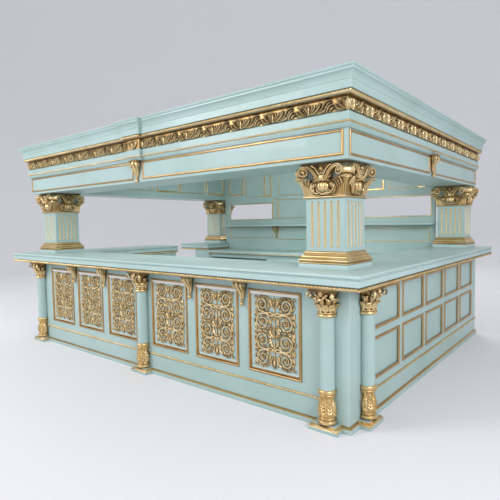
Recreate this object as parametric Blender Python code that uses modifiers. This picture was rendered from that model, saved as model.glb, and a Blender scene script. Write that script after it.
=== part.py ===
"""Island bar counter with a canopy: counter runs, piers, an entablature and a back bar.

Metres, +Z up.  The origin is on the floor under the middle of the worktop rectangle.
The carved customers' front faces -Y and the long panelled side faces +X.
"""
import math

import bmesh
import bpy
from mathutils import Matrix, Vector

# Clearances
SEAT_GAP = 0.0003
JOINT_GAP = 0.0003
DOOR_GAP = 0.0030
HINGE_GAP = 0.0004
CUT_OVER = 0.020

# Worktops
WORKTOP_LENGTH = 5.132
WORKTOP_WIDTH = 3.996
WORKTOP_RUN = 0.700
WORKTOP_TOP_Z = 1.150
WORKTOP_BOTTOM_Z = 1.040
LEFT_RUN_END_Y = 0.385
STUB_FRONT_Y = 1.060
STUB_INNER_X = -1.830

# Counter carcasses
RIGHT_FACE_X = 2.410
LEFT_FACE_X = -2.196
FRONT_FACE_Y = -1.838
CARCASS_BACK_Y = 1.790
CARCASS_DEPTH = 0.512
LEFT_DEPTH = 0.298
END_OVERHANG = 0.030
BOARD = 0.030
SHELF_BOARD = 0.024
SHELF_Z = 0.520
CARCASS_FLOOR_Z = 0.070
RAIL_HEIGHT = 0.060
FRONT_BAY_COUNT = 3
RIGHT_BAY_COUNT = 2
LEFT_BAY_COUNT = 1

# Blocks under the columns
BLOCK_WIDTH = 0.234
BLOCK_HEIGHT = 0.050
BLOCK_PROJECTION = 0.108
POCKET_DEPTH = 0.002

# Carved panels of the front
PANEL_WIDTH = 0.520
PANEL_BOTTOM_Z = 0.287
PANEL_TOP_Z = 0.972
PANEL_GAP = 0.1125
PANEL_FIRST_OFFSET = 0.125
PANELS_PER_HALF = 3
PANEL_SEAT = 0.018

# Square fields of the right side
FIELD_WIDTH = 0.515
FIELD_PITCH = 0.620
FIELD_FIRST_Y = -1.435
FIELD_COUNT = 5
FIELD_ROWS = ((0.288, 0.593), (0.685, 0.977))
FIELD_DEPTH = 0.010

# Turned columns
COLUMN_STANDOFF = 0.030
COLUMN_OFFSET = 2.144
SIDE_COLUMN_INSET = 0.233
CAPITAL_Z = 0.830
TURNING_STEPS = 20
COLUMN_SCROLL_REACH = 0.128
COLUMN_SCROLL_Z = 0.990
COLUMN_SCROLL_RADIUS = 0.026
COLUMN_SCROLL_LENGTH = 0.036

# Brackets
BRACKET_WIDTH = 0.100
CANOPY_BRACKET_WIDTH = 0.130
SHELF_BRACKET_WIDTH = 0.070

# Piers
PIER_WIDTH = 0.331
PIER_FRONT = (2.132, -1.514)
PIER_BACK_LEFT = (-2.132, 1.690)
PIER_BACK_RIGHT = (2.165, 1.690)
SHAFT_Z = 1.284
PIER_CAPITAL_Z = 1.688
LEAF_REACH = 1.22
FACE_LEAF_REACH = 0.86
PIER_SCROLL_RADIUS = 0.042
PIER_SCROLL_LENGTH = 0.100
PIER_SCROLL_REACH = 0.259
PIER_SCROLL_Z = 1.902
FLUTES = 5
FLUTE_PITCH = 0.0558
FLUTE_RADIUS = 0.0095
FLUTE_BOTTOM_Z = 1.314
FLUTE_TOP_Z = 1.666
FLUTE_SIDES = 6

# Canopy
BEAM_X = 2.378
BEAM_FRONT_Y = -1.793
BEAM_BACK_Y = 1.893
BEAM_WIDTH = 0.470
BACK_BEAM_WIDTH = 0.273
BEAM_BOARD = 0.030
BEAM_BOTTOM_Z = 1.950
BEAM_TOP_Z = 2.166
BEAM_LINING_TOP_Z = 2.490
CEILING_BOARD = 0.018
CORNICE_BACKING = 0.035
BREAK_HALF = 0.085
BREAK_PROJECTION = 0.030

# Back bar
BACK_TOP_Z = 1.040
BACK_TOP_THICKNESS = 0.058
BACK_TOP_FRONT_Y = 1.060
BACK_BASE_FRONT_Y = 1.116
CUPBOARD_WIDTH = 1.120
DOOR_BOTTOM_Z = 0.085
DOOR_TOP_Z = 0.930
DOOR_THICKNESS = 0.024
DOOR_FIELD_DEPTH = 0.006
DOOR_STILE = 0.070
KNOB_Z = 0.560
KNOB_INSET = 0.045
WALL_FRONT_Y = BEAM_BACK_Y - BACK_BEAM_WIDTH
WALL_THICKNESS = 0.040
WALL_LEFT_X = -1.905
WALL_RIGHT_X = 1.938
WINDOWS = ((-1.795, -0.805), (0.830, 1.880))
SILL_Z = 1.582
HEADER_Z = 1.845
SHELF_TOP_Z = 1.478
SHELF_THICKNESS = 0.028
SHELF_DEPTH = 0.200
SHELF_LEFT_X = -1.815
SHELF_RIGHT_X = 1.960
SHELF_BRACKET_X = (-0.705, 0.740)

# Mouldings: (reach out from the plan's edge, height), from the bottom up
WORKTOP_EDGE = (
    (-0.020, 1.040), (-0.010, 1.044), (-0.007, 1.053), (-0.010, 1.062), (-0.020, 1.066),
    (-0.006, 1.074), (-0.006, 1.113), (-0.014, 1.116), (-0.014, 1.123), (-0.004, 1.127),
    (0.000, 1.137), (-0.003, 1.147), (-0.008, 1.150))
PLINTH_EDGE = (
    (0.026, 0.000), (0.026, 0.022), (0.020, 0.026), (0.018, 0.036), (0.006, 0.042), (0.000, 0.044))
BLOCK_EDGE = (
    (0.000, 0.000), (0.000, 0.024), (-0.006, 0.028), (-0.008, 0.038), (-0.018, 0.043), (-0.024, 0.050))
PIER_BASE_EDGE = (
    (0.046, 1.1503), (0.046, 1.190), (0.040, 1.193), (0.040, 1.202), (0.047, 1.208),
    (0.047, 1.222), (0.036, 1.230), (0.030, 1.234), (0.030, 1.244), (0.016, 1.262),
    (0.006, 1.274), (0.004, 1.2837))
CORNICE_EDGE = (
    (0.000, 2.1663), (0.020, 2.176), (0.020, 2.198), (0.032, 2.202), (0.032, 2.210),
    (0.024, 2.214), (0.024, 2.283), (0.032, 2.300), (0.024, 2.357), (0.024, 2.374),
    (0.040, 2.384), (0.054, 2.398), (0.054, 2.410), (0.062, 2.414), (0.062, 2.475),
    (0.072, 2.486), (0.086, 2.510), (0.095, 2.530), (0.095, 2.548), (0.105, 2.552),
    (0.105, 2.5675))
BACK_TOP_EDGE = (
    (-0.012, 0.9823), (0.000, 0.992), (0.000, 1.026), (-0.010, 1.0397))
SHELF_EDGE = ((-0.006, 1.4503), (0.000, 1.456), (0.000, 1.472), (-0.006, 1.478))
PANEL_FRAME = (
    (0.000, 0.000), (0.000, 0.026), (-0.006, 0.031), (-0.014, 0.031), (-0.030, 0.022),
    (-0.034, 0.012), (-0.042, 0.009))
CAPITAL_BELL = (
    (0.013, 1.6883), (0.016, 1.693), (0.016, 1.706), (0.006, 1.712), (0.006, 1.760),
    (0.010, 1.820), (0.018, 1.880), (0.022, 1.924), (0.045, 1.930), (0.045, 1.9497))
SMALL_ABACUS = ((-0.012, 1.010), (0.000, 1.018), (0.000, 1.0397))

# Turned forms: (radius, height), from the top down
COLUMN_TURNING = (
    (0.000, 0.8297), (0.056, 0.8297), (0.056, 0.304), (0.065, 0.298), (0.065, 0.268),
    (0.050, 0.258), (0.047, 0.244), (0.056, 0.215), (0.069, 0.178), (0.070, 0.148),
    (0.062, 0.116), (0.049, 0.096), (0.058, 0.086), (0.070, 0.079), (0.070, 0.062),
    (0.062, 0.055), (0.062, 0.040), (0.000, 0.040))
BELL_TURNING = (
    (0.000, 1.020), (0.090, 1.020), (0.088, 0.985), (0.074, 0.930), (0.066, 0.870),
    (0.073, 0.862), (0.075, 0.846), (0.070, 0.834), (0.062, 0.8303), (0.000, 0.8303))
KNOB_TURNING = (
    (0.000, 0.030), (0.008, 0.029), (0.014, 0.024), (0.015, 0.018), (0.010, 0.011),
    (0.007, 0.006), (0.010, 0.000), (0.000, 0.000))

# Side outlines: (reach out from the wall, height), counted from the piece's own bottom
CONSOLE = (
    (0.000, 0.000), (0.014, 0.004), (0.022, 0.014), (0.018, 0.026), (0.020, 0.036),
    (0.030, 0.048), (0.038, 0.066), (0.040, 0.092), (0.046, 0.118), (0.062, 0.142),
    (0.082, 0.158), (0.094, 0.172), (0.098, 0.188), (0.092, 0.202), (0.100, 0.206),
    (0.100, 0.2197), (0.000, 0.2197))
PIER_LEAF = (
    (0.100, 1.716), (0.174, 1.716), (0.180, 1.760), (0.196, 1.792), (0.222, 1.808),
    (0.244, 1.806), (0.258, 1.820), (0.256, 1.838), (0.236, 1.850), (0.200, 1.858),
    (0.100, 1.862))
COLUMN_LEAF = (
    (0.030, 0.868), (0.068, 0.868), (0.072, 0.910), (0.084, 0.934), (0.100, 0.940),
    (0.104, 0.952), (0.092, 0.962), (0.030, 0.966))

HALF_X = WORKTOP_LENGTH / 2
HALF_Y = WORKTOP_WIDTH / 2
INNER_X = HALF_X - WORKTOP_RUN
INNER_Y = HALF_Y - WORKTOP_RUN
CARCASS_TOP_Z = WORKTOP_BOTTOM_Z - SEAT_GAP
FRONT_CENTRE_X = (LEFT_FACE_X + RIGHT_FACE_X) / 2
FRONT_INNER_Y = FRONT_FACE_Y + CARCASS_DEPTH
RIGHT_INNER_X = RIGHT_FACE_X - CARCASS_DEPTH
LEFT_INNER_X = LEFT_FACE_X + LEFT_DEPTH
STUB_BODY_X = STUB_INNER_X - 0.004
STUB_BODY_Y = STUB_FRONT_Y + END_OVERHANG
BACK_LEFT_X = STUB_BODY_X + JOINT_GAP
BACK_RIGHT_X = RIGHT_INNER_X - JOINT_GAP
BACK_CENTRE_X = (BACK_LEFT_X + BACK_RIGHT_X) / 2
BACK_BASE_TOP_Z = BACK_TOP_Z - BACK_TOP_THICKNESS
DOOR_WIDTH = CUPBOARD_WIDTH / 2 - DOOR_GAP / 2
DOOR_HEIGHT = DOOR_TOP_Z - DOOR_BOTTOM_Z
BEAM_INNER_X = BEAM_X - BEAM_WIDTH
PIERS = {
    "front_left": (-PIER_FRONT[0], PIER_FRONT[1]),
    "front_right": PIER_FRONT,
    "back_left": PIER_BACK_LEFT,
    "back_right": PIER_BACK_RIGHT}
COLUMNS = {
    "front_left": (FRONT_CENTRE_X - COLUMN_OFFSET, FRONT_FACE_Y - COLUMN_STANDOFF, 0),
    "front_middle": (FRONT_CENTRE_X, FRONT_FACE_Y - COLUMN_STANDOFF, 0),
    "front_right": (FRONT_CENTRE_X + COLUMN_OFFSET, FRONT_FACE_Y - COLUMN_STANDOFF, 0),
    "side": (RIGHT_FACE_X + COLUMN_STANDOFF, FRONT_FACE_Y + SIDE_COLUMN_INSET, 90)}

BLUE = ("duck_egg_paint", (0.48, 0.62, 0.62), 0.45, 0.0)
PALE = ("pale_paint", (0.66, 0.76, 0.76), 0.42, 0.0)
GOLD = ("antique_gilding", (0.60, 0.42, 0.19), 0.36, 0.85)


# Scene and materials


def clear_scene():
    """Remove every object that the startup file holds."""
    for item in list(bpy.data.objects):
        bpy.data.objects.remove(item, do_unlink=True)


def make_collection(name):
    """A new collection, linked to the scene."""
    collection = bpy.data.collections.new(name)
    bpy.context.scene.collection.children.link(collection)
    return collection


def paint(finish):
    """The Principled material of a finish, made once."""
    name, colour, roughness, metallic = finish
    material = bpy.data.materials.get(name)
    if material is None:
        material = bpy.data.materials.new(name)
        material.use_nodes = True
        shader = material.node_tree.nodes["Principled BSDF"]
        shader.inputs["Base Color"].default_value = (*colour, 1.0)
        shader.inputs["Roughness"].default_value = roughness
        shader.inputs["Metallic"].default_value = metallic
    return material


def add_part(name, mesh, finish, location=(0, 0, 0), turn=0):
    """A piece of the counter: its mesh at its place, turned about Z by whole degrees."""
    part = bpy.data.objects.new(name, mesh)
    part.location = location
    part.rotation_euler = (0, 0, math.radians(turn))
    if not mesh.materials:
        mesh.materials.append(paint(finish))
    PARTS.objects.link(part)
    return part


def add_cutter(name, mesh):
    """A shape that cuts or joins another, drawn as wires and left out of renders."""
    cutter = bpy.data.objects.new(name, mesh)
    cutter.hide_render = True
    cutter.display_type = "WIRE"
    CUTTERS.objects.link(cutter)
    return cutter


def combine(part, mesh, operation="DIFFERENCE"):
    """Cut or join a part with a mesh drawn in the part's own frame."""
    cutter = add_cutter(f"{part.name}_{operation.lower()}_{len(part.modifiers)}", mesh)
    cutter.location = part.location
    cutter.rotation_euler = part.rotation_euler
    modifier = part.modifiers.new(operation.title(), "BOOLEAN")
    modifier.operation = operation
    modifier.object = cutter
    modifier.solver = "EXACT"


# Solids


def write_mesh(bm, name):
    """Turn a bmesh into a mesh whose faces point out."""
    bmesh.ops.recalc_face_normals(bm, faces=bm.faces)
    mesh = bpy.data.meshes.new(name)
    bm.to_mesh(mesh)
    bm.free()
    return mesh


def boxes(name, extents):
    """One mesh with a block for each (x0, x1, y0, y1, z0, z1)."""
    bm = bmesh.new()
    for x0, x1, y0, y1, z0, z1 in extents:
        centre = Vector((x0 + x1, y0 + y1, z0 + z1)) / 2
        size = Matrix.Diagonal((x1 - x0, y1 - y0, z1 - z0, 1.0))
        bmesh.ops.create_cube(bm, size=1.0, matrix=Matrix.Translation(centre) @ size)
    return write_mesh(bm, name)


def offset_corner(before, corner, after, shift_in, shift_out):
    """Where two neighbouring edges of a plan meet once each has moved out by its own shift."""
    incoming = (corner - before).normalized()
    outgoing = (after - corner).normalized()
    start_in = before + Vector((incoming.y, -incoming.x)) * shift_in
    start_out = corner + Vector((outgoing.y, -outgoing.x)) * shift_out
    span = start_out - start_in
    cross = incoming.x * outgoing.y - incoming.y * outgoing.x
    distance = (span.x * outgoing.y - span.y * outgoing.x) / cross
    return start_in + incoming * distance


def moulded(name, plan, edge):
    """A solid with a moulded edge round a plan.

    The plan lists (x, y, moulded) anticlockwise; each flag belongs to the side that starts
    at that corner.  A side that isn't moulded is a joint, drawn back by half its gap.
    """
    corners = [Vector((x, y)) for x, y, _ in plan]
    flags = [flag for _, _, flag in plan]
    count = len(plan)
    bm = bmesh.new()
    rings = []
    for reach, height in edge:
        shifts = [reach if flag else -JOINT_GAP / 2 for flag in flags]
        ring = []
        for index in range(count):
            point = offset_corner(
                corners[index - 1], corners[index], corners[(index + 1) % count],
                shifts[index - 1], shifts[index])
            ring.append(bm.verts.new((point.x, point.y, height)))
        rings.append(ring)
    for lower, upper in zip(rings, rings[1:]):
        for index in range(count):
            after = (index + 1) % count
            bm.faces.new((lower[index], lower[after], upper[after], upper[index]))
    bm.faces.new(rings[0])
    bm.faces.new(rings[-1])
    return write_mesh(bm, name)


def rectangle(x0, x1, y0, y1, flags=(True, True, True, True)):
    """A rectangular plan, with flags for its -Y, +X, +Y and -X sides."""
    points = ((x0, y0), (x1, y0), (x1, y1), (x0, y1))
    return [(x, y, flag) for (x, y), flag in zip(points, flags)]


def run(name, section, start, end, mitres=(1, 1)):
    """A hollow or solid bar along X, from a section of (reach towards -Y, height).

    A mitred end (1) grows longer by its reach, and a plain one (0) is cut square.
    """
    bm = bmesh.new()
    low, high = start + JOINT_GAP / 1.4, end - JOINT_GAP / 1.4
    first = [bm.verts.new((low - reach * mitres[0], -reach, height)) for reach, height in section]
    last = [bm.verts.new((high + reach * mitres[1], -reach, height)) for reach, height in section]
    for index in range(len(section)):
        after = (index + 1) % len(section)
        bm.faces.new((first[index], first[after], last[after], last[index]))
    bm.faces.new(first)
    bm.faces.new(last)
    return write_mesh(bm, name)


def bracket(name, outline, width, scale=1.0, height_scale=1.0):
    """A side outline of (reach, height), drawn across a width about X."""
    bm = bmesh.new()
    sides = []
    for x in (-width / 2, width / 2):
        sides.append([bm.verts.new((x, -reach * scale, z * height_scale)) for reach, z in outline])
    left, right = sides
    for index in range(len(outline)):
        after = (index + 1) % len(outline)
        bm.faces.new((left[index], left[after], right[after], right[index]))
    bm.faces.new(left)
    bm.faces.new(right)
    return write_mesh(bm, name)


def cylinder(name, radius, length, sides, matrix):
    """A cylinder about Z, moved by a matrix."""
    bm = bmesh.new()
    bmesh.ops.create_cone(
        bm, cap_ends=True, segments=sides, radius1=radius, radius2=radius, depth=length, matrix=matrix)
    return write_mesh(bm, name)


def turned(name, profile, steps=TURNING_STEPS):
    """A turned form, spun with a Screw modifier from its profile."""
    mesh = bpy.data.meshes.new(name + "_profile")
    points = [(radius, 0.0, height) for radius, height in profile]
    mesh.from_pydata(points, [(i, i + 1) for i in range(len(points) - 1)], [])
    guide = add_cutter(name + "_guide", mesh)
    screw = guide.modifiers.new("Spin", "SCREW")
    screw.axis = "Z"
    screw.steps = steps
    screw.render_steps = steps
    screw.use_merge_vertices = True
    screw.merge_threshold = 0.00005
    return applied(guide, name)


def applied(item, name):
    """The mesh that an object's modifiers make; the object itself is removed."""
    bpy.context.view_layer.update()
    evaluated = item.evaluated_get(bpy.context.evaluated_depsgraph_get())
    mesh = bpy.data.meshes.new_from_object(evaluated)
    mesh.name = name
    bpy.data.objects.remove(item)
    return mesh


def moved(mesh, matrix):
    """The same mesh, carried by a matrix."""
    mesh.transform(matrix)
    return mesh


def assembled(name, base, additions=(), cuts=()):
    """One closed mesh: a base joined with some solids and cut by others."""
    item = add_cutter(name + "_base", base)
    for mesh in additions:
        combine(item, mesh, "UNION")
    for mesh in cuts:
        combine(item, mesh)
    helpers = [modifier.object for modifier in item.modifiers]
    mesh = applied(item, name)
    for helper in helpers:
        bpy.data.objects.remove(helper)
    return mesh


def round_shading(mesh, angle=40):
    """Smooth shading that keeps edges sharper than the angle."""
    mesh.shade_smooth()
    mesh.set_sharp_from_angle(angle=math.radians(angle))
    return mesh


# Counter carcasses


def bay_rows(first, last, count):
    """Spans of equal bays between two end boards, with one board between neighbours."""
    pitch = (last - first + BOARD) / count
    return [(first + index * pitch, first + (index + 1) * pitch - BOARD) for index in range(count)]


def bay_levels(top=CARCASS_TOP_Z):
    """Heights of the spaces below and above the fixed shelf."""
    return ((CARCASS_FLOOR_Z, SHELF_Z), (SHELF_Z + SHELF_BOARD, top - RAIL_HEIGHT))


def block_pockets():
    """Pockets in the plinth that the columns' blocks stand in."""
    half = BLOCK_WIDTH / 2 + SEAT_GAP
    top = BLOCK_HEIGHT - 0.003
    pockets = []
    for name, (x, y, _) in COLUMNS.items():
        if name == "side":
            face = RIGHT_FACE_X - POCKET_DEPTH
            pockets.append((face, face + 0.1, y - half, y + half, -0.01, top))
        else:
            face = FRONT_FACE_Y + POCKET_DEPTH
            pockets.append((x - half, x + half, face - 0.1, face, -0.01, top))
    return pockets


def panel_centres():
    """X of each carved panel's middle, from left to right."""
    pitch = PANEL_WIDTH + PANEL_GAP
    offsets = [PANEL_FIRST_OFFSET + PANEL_WIDTH / 2 + index * pitch for index in range(PANELS_PER_HALF)]
    return sorted(FRONT_CENTRE_X + side * offset for side in (-1, 1) for offset in offsets)


def front_carcass():
    """Front run: panel seats outside, open bays inside, mitred to the right run."""
    plan = [
        (LEFT_FACE_X, FRONT_FACE_Y, True), (RIGHT_FACE_X, FRONT_FACE_Y, False),
        (RIGHT_INNER_X, FRONT_INNER_Y, False), (LEFT_FACE_X, FRONT_INNER_Y, True)]
    edge = PLINTH_EDGE + ((0.0, CARCASS_TOP_Z),)
    carcass = add_part("front_carcass", moulded("front_carcass", plan, edge), BLUE)
    bays = [
        (x0, x1, FRONT_FACE_Y + BOARD, FRONT_INNER_Y + 0.02, z0, z1)
        for x0, x1 in bay_rows(LEFT_INNER_X + BOARD, RIGHT_INNER_X - BOARD, FRONT_BAY_COUNT)
        for z0, z1 in bay_levels()]
    combine(carcass, boxes("front_bays", bays))
    half = PANEL_WIDTH / 2 + SEAT_GAP
    seats = [
        (x - half, x + half, FRONT_FACE_Y - 0.02, FRONT_FACE_Y + PANEL_SEAT + SEAT_GAP,
         PANEL_BOTTOM_Z - SEAT_GAP, PANEL_TOP_Z + SEAT_GAP) for x in panel_centres()]
    combine(carcass, boxes("panel_seats", seats))
    combine(carcass, boxes("front_pockets", block_pockets()))


def right_carcass():
    """Right run: ten sunk fields outside, open bays inside, and an open far end."""
    plan = [
        (RIGHT_FACE_X, FRONT_FACE_Y, True), (RIGHT_FACE_X, CARCASS_BACK_Y, False),
        (RIGHT_INNER_X, CARCASS_BACK_Y, False), (RIGHT_INNER_X, FRONT_INNER_Y, False)]
    edge = PLINTH_EDGE + ((0.0, CARCASS_TOP_Z),)
    carcass = add_part("right_carcass", moulded("right_carcass", plan, edge), BLUE)
    back_x = RIGHT_FACE_X - BOARD
    bays = [
        (RIGHT_INNER_X - 0.02, back_x, y0, y1, z0, z1)
        for y0, y1 in bay_rows(FRONT_INNER_Y + BOARD, BACK_TOP_FRONT_Y - BOARD, RIGHT_BAY_COUNT)
        for z0, z1 in bay_levels()]
    bays += [
        (RIGHT_INNER_X + BOARD, back_x, BACK_TOP_FRONT_Y, CARCASS_BACK_Y + 0.02, z0, z1)
        for z0, z1 in bay_levels()]
    combine(carcass, boxes("right_bays", bays))
    fields = [
        (RIGHT_FACE_X - FIELD_DEPTH, RIGHT_FACE_X + 0.02, y, y + FIELD_WIDTH, z0, z1)
        for y in [FIELD_FIRST_Y + index * FIELD_PITCH for index in range(FIELD_COUNT)]
        for z0, z1 in FIELD_ROWS]
    combine(carcass, boxes("square_fields", fields))
    combine(carcass, boxes("right_pockets", block_pockets()))


def left_carcass():
    """Short left run behind the front run's left end."""
    end_y = LEFT_RUN_END_Y - END_OVERHANG
    plan = rectangle(LEFT_FACE_X, LEFT_INNER_X, FRONT_INNER_Y, end_y, (False, False, True, True))
    edge = PLINTH_EDGE + ((0.0, CARCASS_TOP_Z),)
    carcass = add_part("left_carcass", moulded("left_carcass", plan, edge), BLUE)
    bays = [
        (LEFT_FACE_X + BOARD, LEFT_INNER_X + 0.02, y0, y1, z0, z1)
        for y0, y1 in bay_rows(FRONT_INNER_Y + BOARD, end_y - BOARD, LEFT_BAY_COUNT)
        for z0, z1 in bay_levels()]
    combine(carcass, boxes("left_bays", bays))


def stub_carcass():
    """Cabinet at the back left corner, open at the back."""
    plan = rectangle(LEFT_FACE_X, STUB_BODY_X, STUB_BODY_Y, CARCASS_BACK_Y, (True, False, False, True))
    edge = PLINTH_EDGE + ((0.0, CARCASS_TOP_Z),)
    carcass = add_part("stub_carcass", moulded("stub_carcass", plan, edge), BLUE)
    bays = [
        (LEFT_FACE_X + BOARD, STUB_BODY_X - BOARD, STUB_BODY_Y + BOARD, CARCASS_BACK_Y + 0.02, z0, z1)
        for z0, z1 in bay_levels()]
    combine(carcass, boxes("stub_bays", bays))


# Worktops


def worktops():
    """Three mitred runs, the stub's slab and the lower back bar top."""
    plans = {
        "worktop_front": [
            (-HALF_X, -HALF_Y, True), (HALF_X, -HALF_Y, False),
            (INNER_X, -INNER_Y, True), (-INNER_X, -INNER_Y, False)],
        "worktop_right": [
            (HALF_X, -HALF_Y, True), (HALF_X, HALF_Y, True),
            (INNER_X, HALF_Y, True), (INNER_X, -INNER_Y, False)],
        "worktop_left": [
            (-INNER_X, -INNER_Y, True), (-INNER_X, LEFT_RUN_END_Y, True),
            (-HALF_X, LEFT_RUN_END_Y, True), (-HALF_X, -HALF_Y, False)],
        "worktop_stub": rectangle(-HALF_X, STUB_INNER_X, STUB_FRONT_Y, HALF_Y)}
    for name, plan in plans.items():
        add_part(name, moulded(name, plan, WORKTOP_EDGE), PALE)
    plan = rectangle(
        STUB_BODY_X + JOINT_GAP / 2, RIGHT_INNER_X - JOINT_GAP / 2,
        BACK_TOP_FRONT_Y, WALL_FRONT_Y - JOINT_GAP / 2, (True, False, False, False))
    add_part("back_bar_top", moulded("back_bar_top", plan, BACK_TOP_EDGE), GOLD)


# Front: panels, columns and brackets


def upright(mesh):
    """Stand a shape drawn flat on its back, so that its top faces -Y."""
    return moved(mesh, Matrix.Rotation(math.radians(90), 4, "X"))


def carved_panels():
    """Six framed panels let into the front."""
    height = PANEL_TOP_Z - PANEL_BOTTOM_Z
    plan = rectangle(-PANEL_WIDTH / 2, PANEL_WIDTH / 2, 0, height)
    mesh = upright(moulded("carved_panel", plan, PANEL_FRAME))
    for number, x in enumerate(panel_centres(), 1):
        seat = (x, FRONT_FACE_Y + PANEL_SEAT, PANEL_BOTTOM_Z)
        add_part(f"carved_panel_{number}", mesh, GOLD, seat)


def behind(depth, size=0.4):
    """A block that cuts a standing piece off flat at a depth behind its axis."""
    return boxes("back_plane", [(-size, size, depth, depth + size, -0.1, CAPITAL_Z + size)])


def column_mesh():
    """Half-sunk column: a turned shaft and vase foot on a square block."""
    half = BLOCK_WIDTH / 2
    front = COLUMN_STANDOFF - BLOCK_PROJECTION
    block = moulded("column_block", rectangle(-half, half, front, half), BLOCK_EDGE)
    shaft = turned("column_shaft", COLUMN_TURNING)
    mesh = assembled("column", shaft, [block], [behind(COLUMN_STANDOFF - SEAT_GAP)])
    return round_shading(mesh)


def scroll(name, radius, length, sides, angle, distance, height):
    """A scroll that lies across the direction of an angle, at a distance from the axis."""
    matrix = (
        Matrix.Rotation(math.radians(angle), 4, "Z") @ Matrix.Translation((0, -distance, height))
        @ Matrix.Rotation(math.radians(90), 4, "Y"))
    return cylinder(name, radius, length, sides, matrix)


def leaf(name, outline, width, angle, scale=1.0):
    """A leaf that stands on a bell and curls out, turned to an angle about Z."""
    turn = Matrix.Rotation(math.radians(angle), 4, "Z")
    return moved(bracket(name, outline, width, scale), turn)


def column_capital_mesh():
    """Capital of a column: ring and bell, leaves, two corner scrolls and a square top."""
    bell = turned("column_bell", BELL_TURNING)
    top = moulded("column_abacus", rectangle(-0.100, 0.100, -0.100, 0.100), SMALL_ABACUS)
    leaves = [leaf("column_leaf", COLUMN_LEAF, 0.046, angle) for angle in (-45, 0, 45)]
    size = (COLUMN_SCROLL_RADIUS, COLUMN_SCROLL_LENGTH)
    place = (COLUMN_SCROLL_REACH, COLUMN_SCROLL_Z)
    scrolls = [scroll("column_scroll", *size, 10, angle, *place) for angle in (-45, 45)]
    mesh = assembled(
        "column_capital", bell, [top] + leaves + scrolls, [behind(COLUMN_STANDOFF - SEAT_GAP)])
    return round_shading(mesh)


def columns():
    """Four columns with their capitals, three on the front and one round the corner."""
    shaft = column_mesh()
    capital = column_capital_mesh()
    for name, (x, y, turn) in COLUMNS.items():
        add_part(f"column_{name}", shaft, PALE, (x, y, 0), turn)
        add_part(f"column_capital_{name}", capital, GOLD, (x, y, 0), turn)


def console_mesh(name, width, height, depth):
    """A console with a scroll through its head, drawn to a width, height and depth."""
    tall = height / CONSOLE[-1][1]
    deep = depth / CONSOLE[-2][0]
    body = bracket(name, CONSOLE, width, deep, tall)
    head = scroll(name + "_scroll", 0.030 * deep, width * 1.12, 12, 0, 0.064 * deep, 0.180 * tall)
    return assembled(name, body, [head])


def brackets():
    """Brackets under the worktop, on the canopy and under the shelf."""
    worktop = console_mesh("worktop_bracket", BRACKET_WIDTH, 0.220, 0.100)
    pitch = PANEL_WIDTH + PANEL_GAP
    first = PANEL_FIRST_OFFSET + PANEL_WIDTH + PANEL_GAP / 2
    offsets = (-first - pitch, -first, first, first + pitch)
    for number, offset in enumerate(offsets, 1):
        place = (FRONT_CENTRE_X + offset, FRONT_FACE_Y - SEAT_GAP, CARCASS_TOP_Z - 0.220)
        add_part(f"worktop_bracket_{number}", worktop, GOLD, place)
    canopy = console_mesh("canopy_bracket", CANOPY_BRACKET_WIDTH, 0.225, 0.072)
    middle_y = (BEAM_FRONT_Y + BEAM_BACK_Y) / 2
    sides = {
        "front": ((0, BEAM_FRONT_Y - SEAT_GAP), 0),
        "right": ((BEAM_X + SEAT_GAP, middle_y), 90),
        "left": ((-BEAM_X - SEAT_GAP, middle_y), -90)}
    for side, ((x, y), turn) in sides.items():
        place = (x, y, BEAM_TOP_Z - SEAT_GAP - 0.225)
        add_part(f"canopy_bracket_{side}", canopy, GOLD, place, turn)
    shelf = console_mesh("shelf_bracket", SHELF_BRACKET_WIDTH, 0.215, 0.120)
    for side, x in zip(("left", "right"), SHELF_BRACKET_X):
        place = (x, WALL_FRONT_Y - SEAT_GAP, SHELF_TOP_Z - SHELF_THICKNESS - SEAT_GAP - 0.215)
        add_part(f"shelf_bracket_{side}", shelf, GOLD, place)


# Piers


def flute(name, x, angle):
    """A spindle that cuts one round-ended flute into the face at an angle."""
    bm = bmesh.new()
    levels = (FLUTE_BOTTOM_Z + FLUTE_RADIUS, FLUTE_TOP_Z - FLUTE_RADIUS)
    rings = []
    for height in levels:
        ring = []
        for index in range(FLUTE_SIDES):
            sweep = 2 * math.pi * index / FLUTE_SIDES
            offset = Vector((math.cos(sweep), math.sin(sweep), 0)) * FLUTE_RADIUS
            ring.append(bm.verts.new(Vector((x, -PIER_WIDTH / 2, height)) + offset))
        rings.append(ring)
    tips = [bm.verts.new((x, -PIER_WIDTH / 2, height)) for height in (FLUTE_BOTTOM_Z, FLUTE_TOP_Z)]
    for index in range(FLUTE_SIDES):
        after = (index + 1) % FLUTE_SIDES
        bm.faces.new((rings[0][index], rings[0][after], rings[1][after], rings[1][index]))
        bm.faces.new((rings[0][index], rings[0][after], tips[0]))
        bm.faces.new((rings[1][index], rings[1][after], tips[1]))
    return moved(write_mesh(bm, name), Matrix.Rotation(math.radians(angle), 4, "Z"))


def joined(name, meshes):
    """Several meshes that don't touch, as one."""
    bm = bmesh.new()
    for mesh in meshes:
        bm.from_mesh(mesh)
    return write_mesh(bm, name)


def pier_shaft_mesh():
    """Square shaft with five flutes in each face."""
    half = PIER_WIDTH / 2
    shaft = boxes("pier_shaft", [(-half, half, -half, half, SHAFT_Z, PIER_CAPITAL_Z)])
    places = [(index - (FLUTES - 1) / 2) * FLUTE_PITCH for index in range(FLUTES)]
    flutes = [flute("flute", x, angle) for angle in (0, 90, 180, 270) for x in places]
    return assembled("pier_shaft", shaft, cuts=[joined("flutes", flutes)])


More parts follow.
